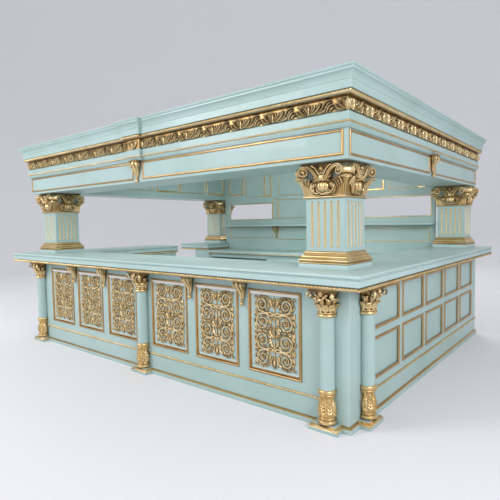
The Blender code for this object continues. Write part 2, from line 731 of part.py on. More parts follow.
def pier_capital_mesh():
    """Carved capital: neck band, flared bell, eight curling leaves and four corner scrolls."""
    half = PIER_WIDTH / 2
    bell = moulded("pier_bell", rectangle(-half, half, -half, half), CAPITAL_BELL)
    corners = (45, 135, 225, 315)
    faces = (0, 90, 180, 270)
    leaves = [leaf("corner_leaf", PIER_LEAF, 0.100, angle, LEAF_REACH) for angle in corners]
    leaves += [leaf("face_leaf", PIER_LEAF, 0.096, angle, FACE_LEAF_REACH) for angle in faces]
    size = (PIER_SCROLL_RADIUS, PIER_SCROLL_LENGTH)
    place = (PIER_SCROLL_REACH, PIER_SCROLL_Z)
    scrolls = [scroll("corner_scroll", *size, 12, angle, *place) for angle in corners]
    return round_shading(assembled("pier_capital", bell, leaves + scrolls))


def piers():
    """Four piers on the worktops, each of a base, a shaft and a capital."""
    half = PIER_WIDTH / 2
    base = moulded("pier_base", rectangle(-half, half, -half, half), PIER_BASE_EDGE)
    shaft = pier_shaft_mesh()
    capital = pier_capital_mesh()
    for name, (x, y) in PIERS.items():
        add_part(f"pier_base_{name}", base, GOLD, (x, y, 0))
        add_part(f"pier_shaft_{name}", shaft, BLUE, (x, y, 0))
        add_part(f"pier_capital_{name}", capital, GOLD, (x, y, 0))


# Canopy


def architraves():
    """Four hollow beams, mitred at the front, whose lining boards carry the ceiling."""
    floor = BEAM_BOTTOM_Z + BEAM_BOARD
    front_y = BEAM_FRONT_Y + BEAM_WIDTH
    sides = {
        "front": (BEAM_WIDTH, (0, front_y), 0, -BEAM_INNER_X, BEAM_INNER_X, (1, 1)),
        "right": (BEAM_WIDTH, (BEAM_INNER_X, 0), 90, front_y, BEAM_BACK_Y, (1, 0)),
        "back": (BACK_BEAM_WIDTH, (0, WALL_FRONT_Y), 180, -BEAM_INNER_X, BEAM_INNER_X, (0, 0)),
        "left": (BEAM_WIDTH, (-BEAM_INNER_X, 0), 270, -BEAM_BACK_Y, -front_y, (0, 1))}
    lining_ends = {
        "right": (BEAM_BACK_Y - CORNICE_BACKING - JOINT_GAP, BEAM_BACK_Y + CUT_OVER),
        "left": (-BEAM_BACK_Y - CUT_OVER, CORNICE_BACKING + JOINT_GAP - BEAM_BACK_Y)}
    for side, (width, (x, y), turn, start, end, mitres) in sides.items():
        outer = width - BEAM_BOARD
        section = (
            (0, BEAM_BOTTOM_Z), (width, BEAM_BOTTOM_Z), (width, BEAM_TOP_Z), (outer, BEAM_TOP_Z),
            (outer, floor), (BEAM_BOARD, floor), (BEAM_BOARD, BEAM_LINING_TOP_Z), (0, BEAM_LINING_TOP_Z))
        name = f"architrave_{side}"
        beam = add_part(name, run(name, section, start, end, mitres), BLUE, (x, y, 0), turn)
        if side in lining_ends:
            across = (-BEAM_BOARD - CUT_OVER, CUT_OVER, BEAM_TOP_Z, BEAM_LINING_TOP_Z + CUT_OVER)
            combine(beam, boxes("lining_end", [(*lining_ends[side], *across)]))


def cornices():
    """Four mitred cornices; the front one breaks forward over its bracket."""
    x, front, back, inset = BEAM_X, BEAM_FRONT_Y, BEAM_BACK_Y, CORNICE_BACKING
    forward = front - BREAK_PROJECTION
    plans = {
        "front": [
            (-x, front, True), (-BREAK_HALF, front, True), (-BREAK_HALF, forward, True),
            (BREAK_HALF, forward, True), (BREAK_HALF, front, True), (x, front, False),
            (x - inset, front + inset, False), (-x + inset, front + inset, False)],
        "right": [
            (x, front, True), (x, back, False),
            (x - inset, back - inset, False), (x - inset, front + inset, False)],
        "back": [
            (x, back, True), (-x, back, False),
            (-x + inset, back - inset, False), (x - inset, back - inset, False)],
        "left": [
            (-x, back, True), (-x, front, False),
            (-x + inset, front + inset, False), (-x + inset, back - inset, False)]}
    for side, plan in plans.items():
        name = f"cornice_{side}"
        add_part(name, moulded(name, plan, CORNICE_EDGE), PALE)


def ceiling():
    """Flat board over the linings, inside the cornices."""
    inset = CORNICE_BACKING + 0.001
    bottom = BEAM_LINING_TOP_Z + SEAT_GAP
    extent = (
        inset - BEAM_X, BEAM_X - inset, BEAM_FRONT_Y + inset, BEAM_BACK_Y - inset,
        bottom, bottom + CEILING_BOARD)
    add_part("ceiling_panel", boxes("ceiling_panel", [extent]), BLUE)


# Back bar


def back_bar_base():
    """Base with an open bay at each side and a cupboard in the middle."""
    top = BACK_BASE_TOP_Z
    extent = (BACK_LEFT_X, BACK_RIGHT_X, BACK_BASE_FRONT_Y, WALL_FRONT_Y - SEAT_GAP, 0, top)
    base = add_part("back_bar_base", boxes("back_bar_base", [extent]), BLUE)
    half = CUPBOARD_WIDTH / 2
    spans = (
        (BACK_LEFT_X + BOARD, BACK_CENTRE_X - half - BOARD),
        (BACK_CENTRE_X - half + BOARD / 2, BACK_CENTRE_X + half - BOARD / 2),
        (BACK_CENTRE_X + half + BOARD, BACK_RIGHT_X - BOARD))
    bays = [
        (x0, x1, BACK_BASE_FRONT_Y - CUT_OVER, WALL_FRONT_Y - BOARD, z0, z1)
        for x0, x1 in spans for z0, z1 in bay_levels(top)]
    combine(base, boxes("back_bays", bays))


def cupboard_doors():
    """Two hinged doors with a sunk field, and a knob on each."""
    height = DOOR_HEIGHT
    width = DOOR_WIDTH
    knob = round_shading(upright(turned("door_knob", KNOB_TURNING, 12)))
    hinge_y = BACK_BASE_FRONT_Y - HINGE_GAP
    for name, side in (("left", 1), ("right", -1)):
        span = sorted((0, side * width))
        plate = boxes("door", [(*span, -DOOR_THICKNESS, 0, 0, height)])
        inner = (
            span[0] + DOOR_STILE, span[1] - DOOR_STILE, -DOOR_THICKNESS - 0.01,
            DOOR_FIELD_DEPTH - DOOR_THICKNESS, DOOR_STILE, height - DOOR_STILE)
        mesh = assembled("back_bar_door_" + name, plate, cuts=[boxes("door_field", [inner])])
        hinge_x = BACK_CENTRE_X - side * CUPBOARD_WIDTH / 2
        door = add_part("back_bar_door_" + name, mesh, BLUE, (hinge_x, hinge_y, DOOR_BOTTOM_Z))
        place = (side * (width - KNOB_INSET), -DOOR_THICKNESS - SEAT_GAP, KNOB_Z - DOOR_BOTTOM_Z)
        handle = add_part("door_knob_" + name, knob, GOLD, place)
        handle.parent = door


def back_wall():
    """Wall between the back piers, with two windows and ends that stand on the worktops."""
    back = WALL_FRONT_Y + WALL_THICKNESS
    extent = (WALL_LEFT_X, WALL_RIGHT_X, WALL_FRONT_Y, back, 0, BEAM_BOTTOM_Z - SEAT_GAP)
    wall = add_part("back_wall", boxes("back_wall", [extent]), BLUE)
    openings = [(x0, x1, SILL_Z, HEADER_Z) for x0, x1 in WINDOWS]
    seat = WORKTOP_TOP_Z + SEAT_GAP
    openings.append((WALL_LEFT_X - CUT_OVER, STUB_INNER_X + JOINT_GAP, -CUT_OVER, seat))
    openings.append((INNER_X - JOINT_GAP, WALL_RIGHT_X + CUT_OVER, -CUT_OVER, seat))
    cuts = [(x0, x1, WALL_FRONT_Y - CUT_OVER, back + CUT_OVER, z0, z1) for x0, x1, z0, z1 in openings]
    combine(wall, boxes("windows", cuts))


def back_shelf():
    """Long display shelf in front of the wall."""
    plan = rectangle(
        SHELF_LEFT_X, SHELF_RIGHT_X, WALL_FRONT_Y - SHELF_DEPTH, WALL_FRONT_Y - JOINT_GAP / 2,
        (True, True, False, True))
    edge = [(reach, height) for reach, height in SHELF_EDGE]
    add_part("back_bar_shelf", moulded("back_bar_shelf", plan, edge), GOLD)


clear_scene()
PARTS = make_collection("bar_counter")
CUTTERS = make_collection("cutters")
front_carcass()
right_carcass()
left_carcass()
stub_carcass()
worktops()
carved_panels()
columns()
brackets()
piers()
architraves()
cornices()
ceiling()
back_bar_base()
cupboard_doors()
back_wall()
back_shelf()
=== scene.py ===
# %% [markdown]
# # Dressing an island bar counter
#
# The real object is a painted and gilded wooden bar: four runs of counter round a serving
# area, with fluted piers that carry a canopy.  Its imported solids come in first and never
# move.  Everything made afterwards sits on them, so each size is read from a solid wherever
# one has it, and only what the solids leave out is written here as a number.

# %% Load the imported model
import math

import bpy
import numpy as np
from mathutils import Matrix, Vector


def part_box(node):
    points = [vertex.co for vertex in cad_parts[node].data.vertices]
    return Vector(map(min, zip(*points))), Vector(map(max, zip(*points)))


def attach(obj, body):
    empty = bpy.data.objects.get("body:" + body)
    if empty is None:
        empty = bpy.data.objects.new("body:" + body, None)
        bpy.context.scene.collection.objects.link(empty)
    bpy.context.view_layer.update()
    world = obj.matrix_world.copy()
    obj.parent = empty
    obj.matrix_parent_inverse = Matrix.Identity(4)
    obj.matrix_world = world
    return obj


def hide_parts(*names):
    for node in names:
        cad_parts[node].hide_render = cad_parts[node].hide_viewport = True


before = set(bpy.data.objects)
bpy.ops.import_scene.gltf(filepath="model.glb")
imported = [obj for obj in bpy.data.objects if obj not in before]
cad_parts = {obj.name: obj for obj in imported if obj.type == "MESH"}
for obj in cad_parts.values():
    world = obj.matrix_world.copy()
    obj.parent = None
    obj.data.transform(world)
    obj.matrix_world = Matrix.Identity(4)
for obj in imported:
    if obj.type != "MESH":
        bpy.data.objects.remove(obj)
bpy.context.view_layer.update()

# %% [markdown]
# ## The camera
#
# The view was worked out from the picture's straight edges: the vanishing points of the long
# rails give the turn, and the known worktop height gives the distance.  A camera could be
# aimed with a Track To constraint, but writing its three axes keeps the slight roll exact.

# %% Camera
CAMERA_PLACE = Vector((3.83733, -4.65925, 1.50583))
CAMERA_YAW = math.radians(39.376)
CAMERA_PITCH = math.radians(-3.416)
CAMERA_ROLL = math.radians(-0.914)
CAMERA_LENS = 32.09
SENSOR_WIDTH = 36.0


def camera_axes(yaw, pitch, roll):
    """The camera's own right, up and backward directions."""
    flat = math.cos(pitch)
    ahead = Vector((-math.sin(yaw) * flat, math.cos(yaw) * flat, math.sin(pitch)))
    level = Vector((math.cos(yaw), math.sin(yaw), 0))
    upward = level.cross(ahead)
    right = level * math.cos(roll) + upward * math.sin(roll)
    up = upward * math.cos(roll) - level * math.sin(roll)
    return right, up, -ahead


def add_camera():
    """A camera at the picture's place, without shift or depth of field."""
    data = bpy.data.cameras.new("view_camera")
    data.lens = CAMERA_LENS
    data.sensor_width = SENSOR_WIDTH
    camera = bpy.data.objects.new("view_camera", data)
    axes = Matrix(camera_axes(CAMERA_YAW, CAMERA_PITCH, CAMERA_ROLL)).transposed()
    camera.matrix_world = Matrix.Translation(CAMERA_PLACE) @ axes.to_4x4()
    bpy.context.scene.collection.objects.link(camera)
    bpy.context.scene.camera = camera
    return camera


print("camera at", add_camera().location)

# %% [markdown]
# ## Shader maths
#
# A finish is a small graph of nodes.  Dragging them by hand is clear for five nodes and
# hopeless for fifty, so here each node's output is wrapped in a class that knows Python's
# arithmetic.  Then `0.4 + 0.1 * grain` builds the Math nodes by itself, and one method makes
# every other kind of node.

# %% A node's output that can be reckoned with


class Signal:
    """One output of a shader node, with Python's arithmetic."""

    def __init__(self, finish, socket):
        self.finish = finish
        self.socket = socket

    def maths(self, operation, first, second=0.0):
        return self.finish.node("ShaderNodeMath", {"operation": operation}, {0: first, 1: second})

    def __add__(self, other):
        return self.maths("ADD", self, other)

    def __radd__(self, other):
        return self.maths("ADD", other, self)

    def __sub__(self, other):
        return self.maths("SUBTRACT", self, other)

    def __rsub__(self, other):
        return self.maths("SUBTRACT", other, self)

    def __mul__(self, other):
        return self.maths("MULTIPLY", self, other)

    def __rmul__(self, other):
        return self.maths("MULTIPLY", other, self)

    def ramped(self, low, high):
        """0 below low, 1 above high and a smooth slope between them."""
        return self.finish.node(
            "ShaderNodeMapRange", {"interpolation_type": "SMOOTHSTEP", "clamp": True},
            {"Value": self, "From Min": low, "From Max": high, "To Min": 0.0, "To Max": 1.0})


class Finish:
    """A material under construction, with one method that makes any node."""

    def __init__(self, name):
        self.material = bpy.data.materials.new(name)
        self.material.use_nodes = True
        self.tree = self.material.node_tree
        self.tree.nodes.clear()

    def node(self, kind, settings=None, sockets=None, output=0):
        """A node of a kind, with its settings made first and then its sockets filled."""
        made = self.tree.nodes.new(kind)
        for name, value in (settings or {}).items():
            setattr(made, name, value)
        for name, value in (sockets or {}).items():
            if isinstance(value, Signal):
                self.tree.links.new(value.socket, made.inputs[name])
            else:
                made.inputs[name].default_value = value
        return Signal(self, made.outputs[output]) if made.outputs else None

    def mixed(self, share, first, second):
        """A colour between two colours."""
        return self.node(
            "ShaderNodeMix", {"data_type": "RGBA"}, {0: share, 6: first, 7: second}, output=2)

    def place(self):
        """Where a point lies on its own mesh, in metres."""
        return self.node("ShaderNodeTexCoord", output=3)

    def scaled(self, vector, factors):
        """A vector stretched along its three axes."""
        return self.node("ShaderNodeVectorMath", {"operation": "MULTIPLY"}, {0: vector, 1: factors})

    def noise(self, vector, scale, detail=3.0, roughness=0.55):
        """Cloudy variation from 0 to 1."""
        return self.node(
            "ShaderNodeTexNoise", {},
            {"Vector": vector, "Scale": scale, "Detail": detail, "Roughness": roughness})

    def hollows(self, distance, inside=False):
        """1 in the open and 0 deep in a recess; inside measures thin edges instead."""
        return self.node(
            "ShaderNodeAmbientOcclusion", {"samples": 6, "inside": inside},
            {"Distance": distance}, output=1)

    def surface(self, colour, roughness, metallic, height, strength, distance, coat=0.0):
        """The Principled shader and its output, with a bump from a height."""
        bump = self.node(
            "ShaderNodeBump", {}, {"Height": height, "Strength": strength, "Distance": distance})
        shader = self.node(
            "ShaderNodeBsdfPrincipled", {},
            {"Base Color": colour, "Roughness": roughness, "Metallic": metallic,
             "Normal": bump, "Coat Weight": coat})
        self.node("ShaderNodeOutputMaterial", {}, {"Surface": shader})
        return self.material


def colour(red, green, blue):
    """A colour as a picture gives it, from 0 to 255, turned into linear light."""
    def linear(part):
        share = part / 255
        return share / 12.92 if share <= 0.04045 else ((share + 0.055) / 1.055) ** 2.4
    return (linear(red), linear(green), linear(blue), 1.0)


# %% [markdown]
# ## Duck-egg paint
#
# The boards wear a satin eggshell paint, brushed on.  It is a little greener where it is thin,
# paler where hands and cloths have worn the arrises, and darker in the corners, which is
# painted shade: a darker colour laid where shade falls.  Ambient Occlusion finds both places:
# measured outwards it finds corners, and measured inwards it finds edges.

# %% Paint
PAINT_BODY = colour(169, 193, 191)
PAINT_THIN = colour(159, 186, 181)
PAINT_WORN = colour(210, 224, 220)
# The darker colour of the painted shade in the corners.
PAINT_CORNER_SHADE = colour(98, 120, 114)
# Paler paint: partly the plinths' own paler blue, partly painted light on the lit tops.
PALER_LIT_BODY = colour(179, 203, 201)
PALER_LIT_THIN = colour(169, 195, 191)
# Near-white paint for a painted highlight on the slope under each panel's top rail.
BEVEL_HIGHLIGHT_BODY = colour(230, 226, 220)
BEVEL_HIGHLIGHT_THIN = colour(220, 214, 206)
ALONG_X, ALONG_Z = (0.35, 3.0, 3.0), (3.0, 3.0, 0.35)
CORNER_REACH, ARRIS_REACH = 0.05, 0.006
CLOUD_SCALE, STROKE_SCALE, SPECKLE_SCALE = 1.3, 60.0, 210.0


def brushed_paint(name, body, thin, grain=ALONG_Z):
    """Brushed paint with painted corner shade; grain says along which axis the brush went."""
    finish = Finish(name)
    place = finish.place()
    cloud = finish.noise(place, CLOUD_SCALE, 2.0)
    strokes = finish.noise(finish.scaled(place, grain), STROKE_SCALE, 4.0, 0.6)
    speckle = finish.noise(place, SPECKLE_SCALE, 2.0)
    corner = 1.0 - finish.hollows(CORNER_REACH)
    edge = (1.0 - finish.hollows(ARRIS_REACH, inside=True)).ramped(0.30, 0.75)
    base = finish.mixed(cloud.ramped(0.35, 0.7), body, thin)
    brushed = finish.mixed(strokes.ramped(0.5, 0.85) * 0.22, base, PAINT_WORN)
    # Painted shade: the corners get a darker colour where shade falls.
    corner_shaded = finish.mixed(corner.ramped(0.25, 0.95) * (0.3 + 0.35 * cloud), brushed, PAINT_CORNER_SHADE)
    worn = finish.mixed(edge * speckle.ramped(0.25, 0.6) * 0.5, corner_shaded, PAINT_WORN)
    roughness = 0.34 + 0.12 * strokes + 0.10 * cloud
    height = strokes * 0.7 + speckle * 0.3
    return finish.surface(worn, roughness, 0.0, height, 0.12, 0.0006, coat=0.15)


PAINT = brushed_paint("duck_egg_paint", PAINT_BODY, PAINT_THIN)
# Paler copy of the paint: painted light on the lit tops, and the plinths' paler blue.
PALER_LIT_PAINT = brushed_paint("paler_lit_paint", PALER_LIT_BODY, PALER_LIT_THIN, ALONG_X)
# Painted highlight: the near-white paint stands for light caught by the slope.
HIGHLIGHT_PAINT = brushed_paint("bevel_highlight_paint", BEVEL_HIGHLIGHT_BODY, BEVEL_HIGHLIGHT_THIN, ALONG_X)
print("paints", PAINT.name, PALER_LIT_PAINT.name, HIGHLIGHT_PAINT.name)

# %% [markdown]
# ## Antique gilding
#
# Gold leaf over carved wood is bright on what stands out and nearly brown in the hollows,
# because the gilder wipes a dark glaze back from the high places.  The same two occlusion
# readings give that: a wide one lays glaze in the hollows, and a thin inside one burnishes
# the ridges, whose paler colour is partly burnish and partly a painted highlight.  Carving is
# bright gold, planted lines are browner, and grounds are like bronze.

# %% Gilding
# The burnished colours serve as burnish and as painted highlight on the ridges.
GOLD_LEAF = colour(212, 176, 116)
GOLD_BURNISH_AND_HIGHLIGHT = colour(255, 240, 196)
GOLD_GLAZE = colour(62, 42, 18)
LINE_LEAF = colour(178, 140, 88)
LINE_BURNISH_AND_HIGHLIGHT = colour(222, 188, 134)
BRONZE_LEAF = colour(136, 105, 62)
BRONZE_BURNISH_AND_HIGHLIGHT = colour(198, 166, 112)
BRONZE_GLAZE = colour(46, 31, 14)
GLAZE_DEPTH = 0.95
GOLD_REACH, BRONZE_REACH, RIDGE_REACH = 0.024, 0.03, 0.004
TONE_SCALE, MOTTLE_SCALE = 6.0, 90.0


def antique_gilding(name, leaf, burnish_and_highlight, glaze, reach=GOLD_REACH):
    """Gilding with a dark glaze in its hollows; reach is how wide a hollow the glaze fills."""
    finish = Finish(name)
    place = finish.place()
    cloud = finish.noise(place, TONE_SCALE, 3.0)
    mottle = finish.noise(place, MOTTLE_SCALE, 4.0, 0.65)
    hollow = (1.0 - finish.hollows(reach)).ramped(0.16, 0.62)
    ridge_highlight = (1.0 - finish.hollows(RIDGE_REACH, inside=True)).ramped(0.15, 0.7)
    toned = finish.mixed(cloud.ramped(0.3, 0.75) * 0.45, leaf, burnish_and_highlight)
    # Painted highlight, partly burnish: the ridges get a paler gold where highlights fall.
    bright = finish.mixed(ridge_highlight * 0.65, toned, burnish_and_highlight)
    share = hollow * (GLAZE_DEPTH - 0.25 * mottle)
    aged = finish.mixed(share, bright, glaze)
    roughness = 0.27 + 0.14 * mottle + 0.25 * share
    metallic = 0.92 - 0.55 * share
    return finish.surface(aged, roughness, metallic, mottle, 0.10, 0.0008)


GOLD = antique_gilding("antique_gilding", GOLD_LEAF, GOLD_BURNISH_AND_HIGHLIGHT, GOLD_GLAZE)
DARK_GOLD = antique_gilding(
    "bronzed_gilding", BRONZE_LEAF, BRONZE_BURNISH_AND_HIGHLIGHT, BRONZE_GLAZE, BRONZE_REACH)
LINE_GOLD = antique_gilding("line_gilding", LINE_LEAF, LINE_BURNISH_AND_HIGHLIGHT, GOLD_GLAZE)
print("gildings", GOLD.name, DARK_GOLD.name, LINE_GOLD.name)

# %% [markdown]
# ## Floor, backdrop and light
#
# The bar stands on a pale floor that curves up into its backdrop, so no skyline cuts the
# picture.  Light comes from large soft panels: one from the left of the carved front, one
# from the right and one from behind.  Two smaller ones hang under the canopy, one for the
# worktops and one for the back wall.  Large panels give the soft shadow edges that a studio
# has; a sun lamp would cut them hard.

# %% Stage
FLOOR_FLAT = 11.0
FLOOR_SWEEP = 6.0
FLOOR_RINGS = (0.05, 5.0)
BACKDROP_HEIGHT = 16.0
STAGE_STEPS = 96
FLOOR_COLOUR = colour(232, 232, 235)
WORLD_COLOUR = colour(235, 236, 240)
WORLD_LIGHT = 0.85
MIDDLE_OF_BAR = (0.0, 0.0, 1.0)
MIDDLE_OF_WALL = (0.0, 1.62, 1.5)
LIGHTS = {
    "left_panel": ((-4.0, -8.0, 5.2), MIDDLE_OF_BAR, 3.6, 380.0),
    "right_panel": ((8.0, -5.0, 4.2), MIDDLE_OF_BAR, 3.0, 300.0),
    "back_panel": ((-3.0, 8.0, 7.5), MIDDLE_OF_BAR, 5.0, 260.0),
    "inside_panel": ((0.2, -0.3, 2.42), MIDDLE_OF_BAR, 1.8, 34.0),
    "wall_panel": ((0.0, -0.9, 1.95), MIDDLE_OF_WALL, 1.4, 22.0)}


def circle(count):
    """Evenly spaced angles round a full turn."""
    return np.linspace(0, 2 * math.pi, count, endpoint=False)


def stage_profile():
    """Distance from the middle and height of the floor, its sweep and the backdrop."""
    floor = [(reach, 0.0) for reach in FLOOR_RINGS]
    sweep = [
        (FLOOR_FLAT + FLOOR_SWEEP * math.sin(a), FLOOR_SWEEP * (1 - math.cos(a)))
        for a in np.linspace(0, math.pi / 2, 9)]
    return floor + sweep + [(FLOOR_FLAT + FLOOR_SWEEP, BACKDROP_HEIGHT)]


def add_stage():
    """Floor and backdrop in one sheet."""
    profile = stage_profile()
    sides = len(profile)
    points = [
        (reach * math.cos(angle), reach * math.sin(angle), z)
        for angle in circle(STAGE_STEPS) for reach, z in profile]
    faces = []
    for row in range(STAGE_STEPS):
        after = (row + 1) % STAGE_STEPS
        faces += [
            (row * sides + i, after * sides + i, after * sides + i + 1, row * sides + i + 1)
            for i in range(sides - 1)]
    faces.append([row * sides for row in range(STAGE_STEPS)][::-1])
    mesh = bpy.data.meshes.new("studio_floor")
    mesh.from_pydata(points, [], faces)
    mesh.shade_smooth()
    floor = Finish("studio_floor")
    shader = floor.node(
        "ShaderNodeBsdfPrincipled", {}, {"Base Color": FLOOR_COLOUR, "Roughness": 0.8})
    floor.node("ShaderNodeOutputMaterial", {}, {"Surface": shader})
    mesh.materials.append(floor.material)
    stage = bpy.data.objects.new("studio_floor", mesh)
    bpy.context.scene.collection.objects.link(stage)


def add_light(name, place, aim, size, power):
    """A square soft panel that faces its aim and doesn't show in the picture."""
    data = bpy.data.lights.new(name, "AREA")
    data.size = size
    data.energy = power
    light = bpy.data.objects.new(name, data)
    light.location = place
    light.visible_camera = False
    way = Vector(aim) - Vector(place)
    light.rotation_euler = way.to_track_quat("-Z", "Y").to_euler()
    bpy.context.scene.collection.objects.link(light)


def add_world(strength):
    """Even pale light from every side."""
    world = bpy.data.worlds.new("studio")
    world.use_nodes = True
    background = world.node_tree.nodes["Background"]
    background.inputs["Color"].default_value = WORLD_COLOUR
    background.inputs["Strength"].default_value = strength
    bpy.context.scene.world = world


add_stage()
for light_name, settings in LIGHTS.items():
    add_light(light_name, *settings)
add_world(WORLD_LIGHT)
bpy.context.scene.view_settings.view_transform = "Standard"
print("lights", len(LIGHTS))

# %% [markdown]
# ## Lofts
#
# Nearly everything here is a loft: rings of points, joined by faces.  A moulding is one, and
# so are a rope, a vine and a leaf.  Blender's curves with a bevel could make some of them, but
# a ring can change its outline as it goes along, which is what carving does.  The forms are
# kept as numpy arrays until they are joined, because that is much faster than one object for
# each leaf.

# %% Forms


class Form:
    """Points, four-sided faces and caps that can be moved and joined before they are a mesh."""

    def __init__(self, points, quads, caps=()):
        self.points = np.asarray(points, float)
        self.quads = np.asarray(quads, int).reshape(-1, 4)
        self.caps = [list(cap) for cap in caps]

    def flipped(self):
        return Form(self.points, self.quads[:, ::-1], [cap[::-1] for cap in self.caps])

    def volume(self):
        """Signed volume, which is negative when the faces point in."""
        a, b, c, d = (self.points[self.quads[:, i]] for i in range(4))
        total = (a * np.cross(b, c)).sum() + (a * np.cross(c, d)).sum()
        for cap in self.caps:
            ring = self.points[cap]
            total += (ring[0] * np.cross(ring[1:-1], ring[2:])).sum()
        return total / 6

    def outward(self):
        return self.flipped() if self.volume() < 0 else self

    def moved(self, matrix):
        """The form carried by a matrix; a mirror also turns its faces round."""
        numbers = np.array(matrix)
        form = Form(self.points @ numbers[:3, :3].T + numbers[:3, 3], self.quads, self.caps)
        return form.flipped() if np.linalg.det(numbers[:3, :3]) < 0 else form


def joined(forms):
    """One form from many."""
    points, quads, caps, start = [], [], [], 0
    for form in forms:
        points.append(form.points)
        quads.append(form.quads + start)
        caps += [[index + start for index in cap] for cap in form.caps]
        start += len(form.points)
    return Form(np.concatenate(points), np.concatenate(quads), caps)


def loft(rings, closed=False):
    """A solid through rings of points; closed joins the last ring to the first."""
    rings = np.asarray(rings, float)
    count, sides = rings.shape[:2]
    index = np.arange(count * sides).reshape(count, sides)
    beside = np.roll(index, -1, axis=1)
    if closed:
        corners = (index, beside, np.roll(beside, -1, axis=0), np.roll(index, -1, axis=0))
    else:
        corners = (index[:-1], beside[:-1], beside[1:], index[1:])
    quads = np.stack(corners, axis=-1).reshape(-1, 4)
    caps = [] if closed else [index[0][::-1], index[-1]]
    return Form(rings.reshape(-1, 3), quads, caps).outward()


def mesh_of(name, form, finish, crease=38.0):
    """A mesh from a form, smooth except where faces meet more sharply than the crease angle."""
    mesh = bpy.data.meshes.new(name)
    mesh.from_pydata(form.points.tolist(), [], form.quads.tolist() + form.caps)
    mesh.materials.append(finish)
    mesh.shade_smooth()
    mesh.set_sharp_from_angle(angle=math.radians(crease))
    return mesh


PIECES = []


def add_piece(name, mesh, place=None, stands_for=(), body="counter"):
    """A piece at its place, on its body."""
    piece = bpy.data.objects.new(name, mesh)
    bpy.context.scene.collection.objects.link(piece)
    if place is not None:
        piece.matrix_world = place
    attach(piece, body)
    if stands_for:
        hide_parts(*stands_for)
    PIECES.append(piece)


def dress(name, form, finish, place=None, stands_for=(), body="counter", crease=38.0):
    """A piece whose mesh no other piece shares."""
    add_piece(name, mesh_of(name, form, finish, crease), place, stands_for, body)


def turned(degrees):
    """A turn about the upright axis."""
    return Matrix.Rotation(math.radians(degrees), 4, "Z")


def on_wall(turn, x, y, z):
    """The place of a form drawn flat: its X runs along a wall, its Y up and its Z outwards."""
    return Matrix.Translation((x, y, z)) @ turned(turn) @ Matrix.Rotation(math.radians(90), 4, "X")


# %% [markdown]
# ## Mouldings and ropes
#
# A plane cuts a moulding along its whole length, so its section is the same everywhere and
# only the corners are mitred.  `slab` grows a moulded edge round a plan, `band` runs a section
# along a line, and `rope` turns the section as it goes.

# %% Profiles


def arc(reach, height, radius, start, end, steps=6):
    """Points on a round stretch of a section, with its angles in degrees."""
    angles = np.radians(np.linspace(start, end, steps))
    return [(reach + radius * math.cos(a), height + radius * math.sin(a)) for a in angles]


def corner_sides(path, normal, closed):
    """At each point of a path, the sideways direction, lengthened where it is mitred."""
    path = np.asarray(path, float)
    steps = np.roll(path, -1, axis=0) - path
    steps /= np.linalg.norm(steps, axis=1)[:, None] + 1e-12
    sides = np.cross(steps, normal)
    before = np.roll(sides, 1, axis=0)
    if not closed:
        sides[-1] = sides[-2]
        before[0] = sides[0]
        before[-1] = sides[-1]
    return (sides + before) / (1 + np.einsum("ij,ij->i", sides, before))[:, None]


def band(path, section, normal=(0, 0, 1), closed=True):
    """A moulding along a path, from a section of (sideways reach, height over the path)."""
    path = np.asarray(path, float)
    sides = corner_sides(path, np.asarray(normal, float), closed)
    section = np.asarray(section, float)
    rings = [
        point + np.outer(section[:, 0], side) + np.outer(section[:, 1], normal)
        for point, side in zip(path, sides)]
    return loft(rings, closed)


def slab(plan, section):
    """A solid whose moulded edge follows (reach, height) round a plan of (x, y, moulded)."""
    corners = np.array([(x, y) for x, y, _ in plan], float)
    flags = np.array([flag for _, _, flag in plan], float)
    along = np.roll(corners, -1, axis=0) - corners
    along /= np.linalg.norm(along, axis=1)[:, None]
    outward = np.stack([along[:, 1], -along[:, 0]], axis=1)
    rings = []
    for reach, height in section:
        shift = outward * (flags * reach)[:, None]
        ring = []
        for index in range(len(plan)):
            before = index - 1
            span = corners[index] + shift[index] - corners[before] - shift[before]
            cross = along[before][0] * along[index][1] - along[before][1] * along[index][0]
            way = (span[0] * along[index][1] - span[1] * along[index][0]) / cross
            ring.append([*(corners[before] + shift[before] + along[before] * way), height])
        rings.append(ring)
    return loft(rings)


ROPE_SIDES = 12
ROPE_STEPS = 7
ROPE_TWIST = 0.27


def rope(path, radius, lay, normal=(0, 0, 1), closed=True):
    """A twisted bead; lay is the distance from one bulge to the next."""
    path = np.asarray(path, float)
    normal = np.asarray(normal, float)
    corners = corner_sides(path, normal, closed)
    turns = circle(ROPE_SIDES)
    rings, run = [], 0.0
    last = len(path) if closed else len(path) - 1
    for index in range(last):
        start, end = path[index], path[(index + 1) % len(path)]
        length = np.linalg.norm(end - start)
        count = max(2, round(length / lay * ROPE_STEPS))
        straight = np.cross((end - start) / length, normal)
        shares = np.linspace(0, 1, count, endpoint=False)
        if not closed and index == last - 1:
            shares = np.linspace(0, 1, count)
        for step, share in enumerate(shares):
            side = corners[index] if step == 0 else straight
            phase = turns - 2 * math.pi * (run + share * length) / lay
            bulge = radius * (1 - ROPE_TWIST + ROPE_TWIST * np.cos(phase))
            rings.append(
                start + (end - start) * share + np.outer(bulge * np.cos(turns), side)
                + np.outer(bulge * np.sin(turns), normal))
        run += length
    return loft(rings, closed)


def oblong(x0, x1, y0, y1, flags=(1, 1, 1, 1)):
    """A rectangular plan, anticlockwise, with a moulding flag for each side."""
    return [(x0, y0, flags[0]), (x1, y0, flags[1]), (x1, y1, flags[2]), (x0, y1, flags[3])]


def loop(x0, x1, y0, y1, z=0.0):
    """The corners of a level rectangle, anticlockwise."""
    return [(x0, y0, z), (x1, y0, z), (x1, y1, z), (x0, y1, z)]


# %% [markdown]
# ## Worktops
#
# Each worktop is a thick slab with a rounded nosing, a shadow groove, a flat fascia and a
# gilded rope under it.  The three long runs meet in mitres, so their plans are drawn with the
# mitred sides unmoulded.  The solids have the same plans; here the edge gets its full curve.

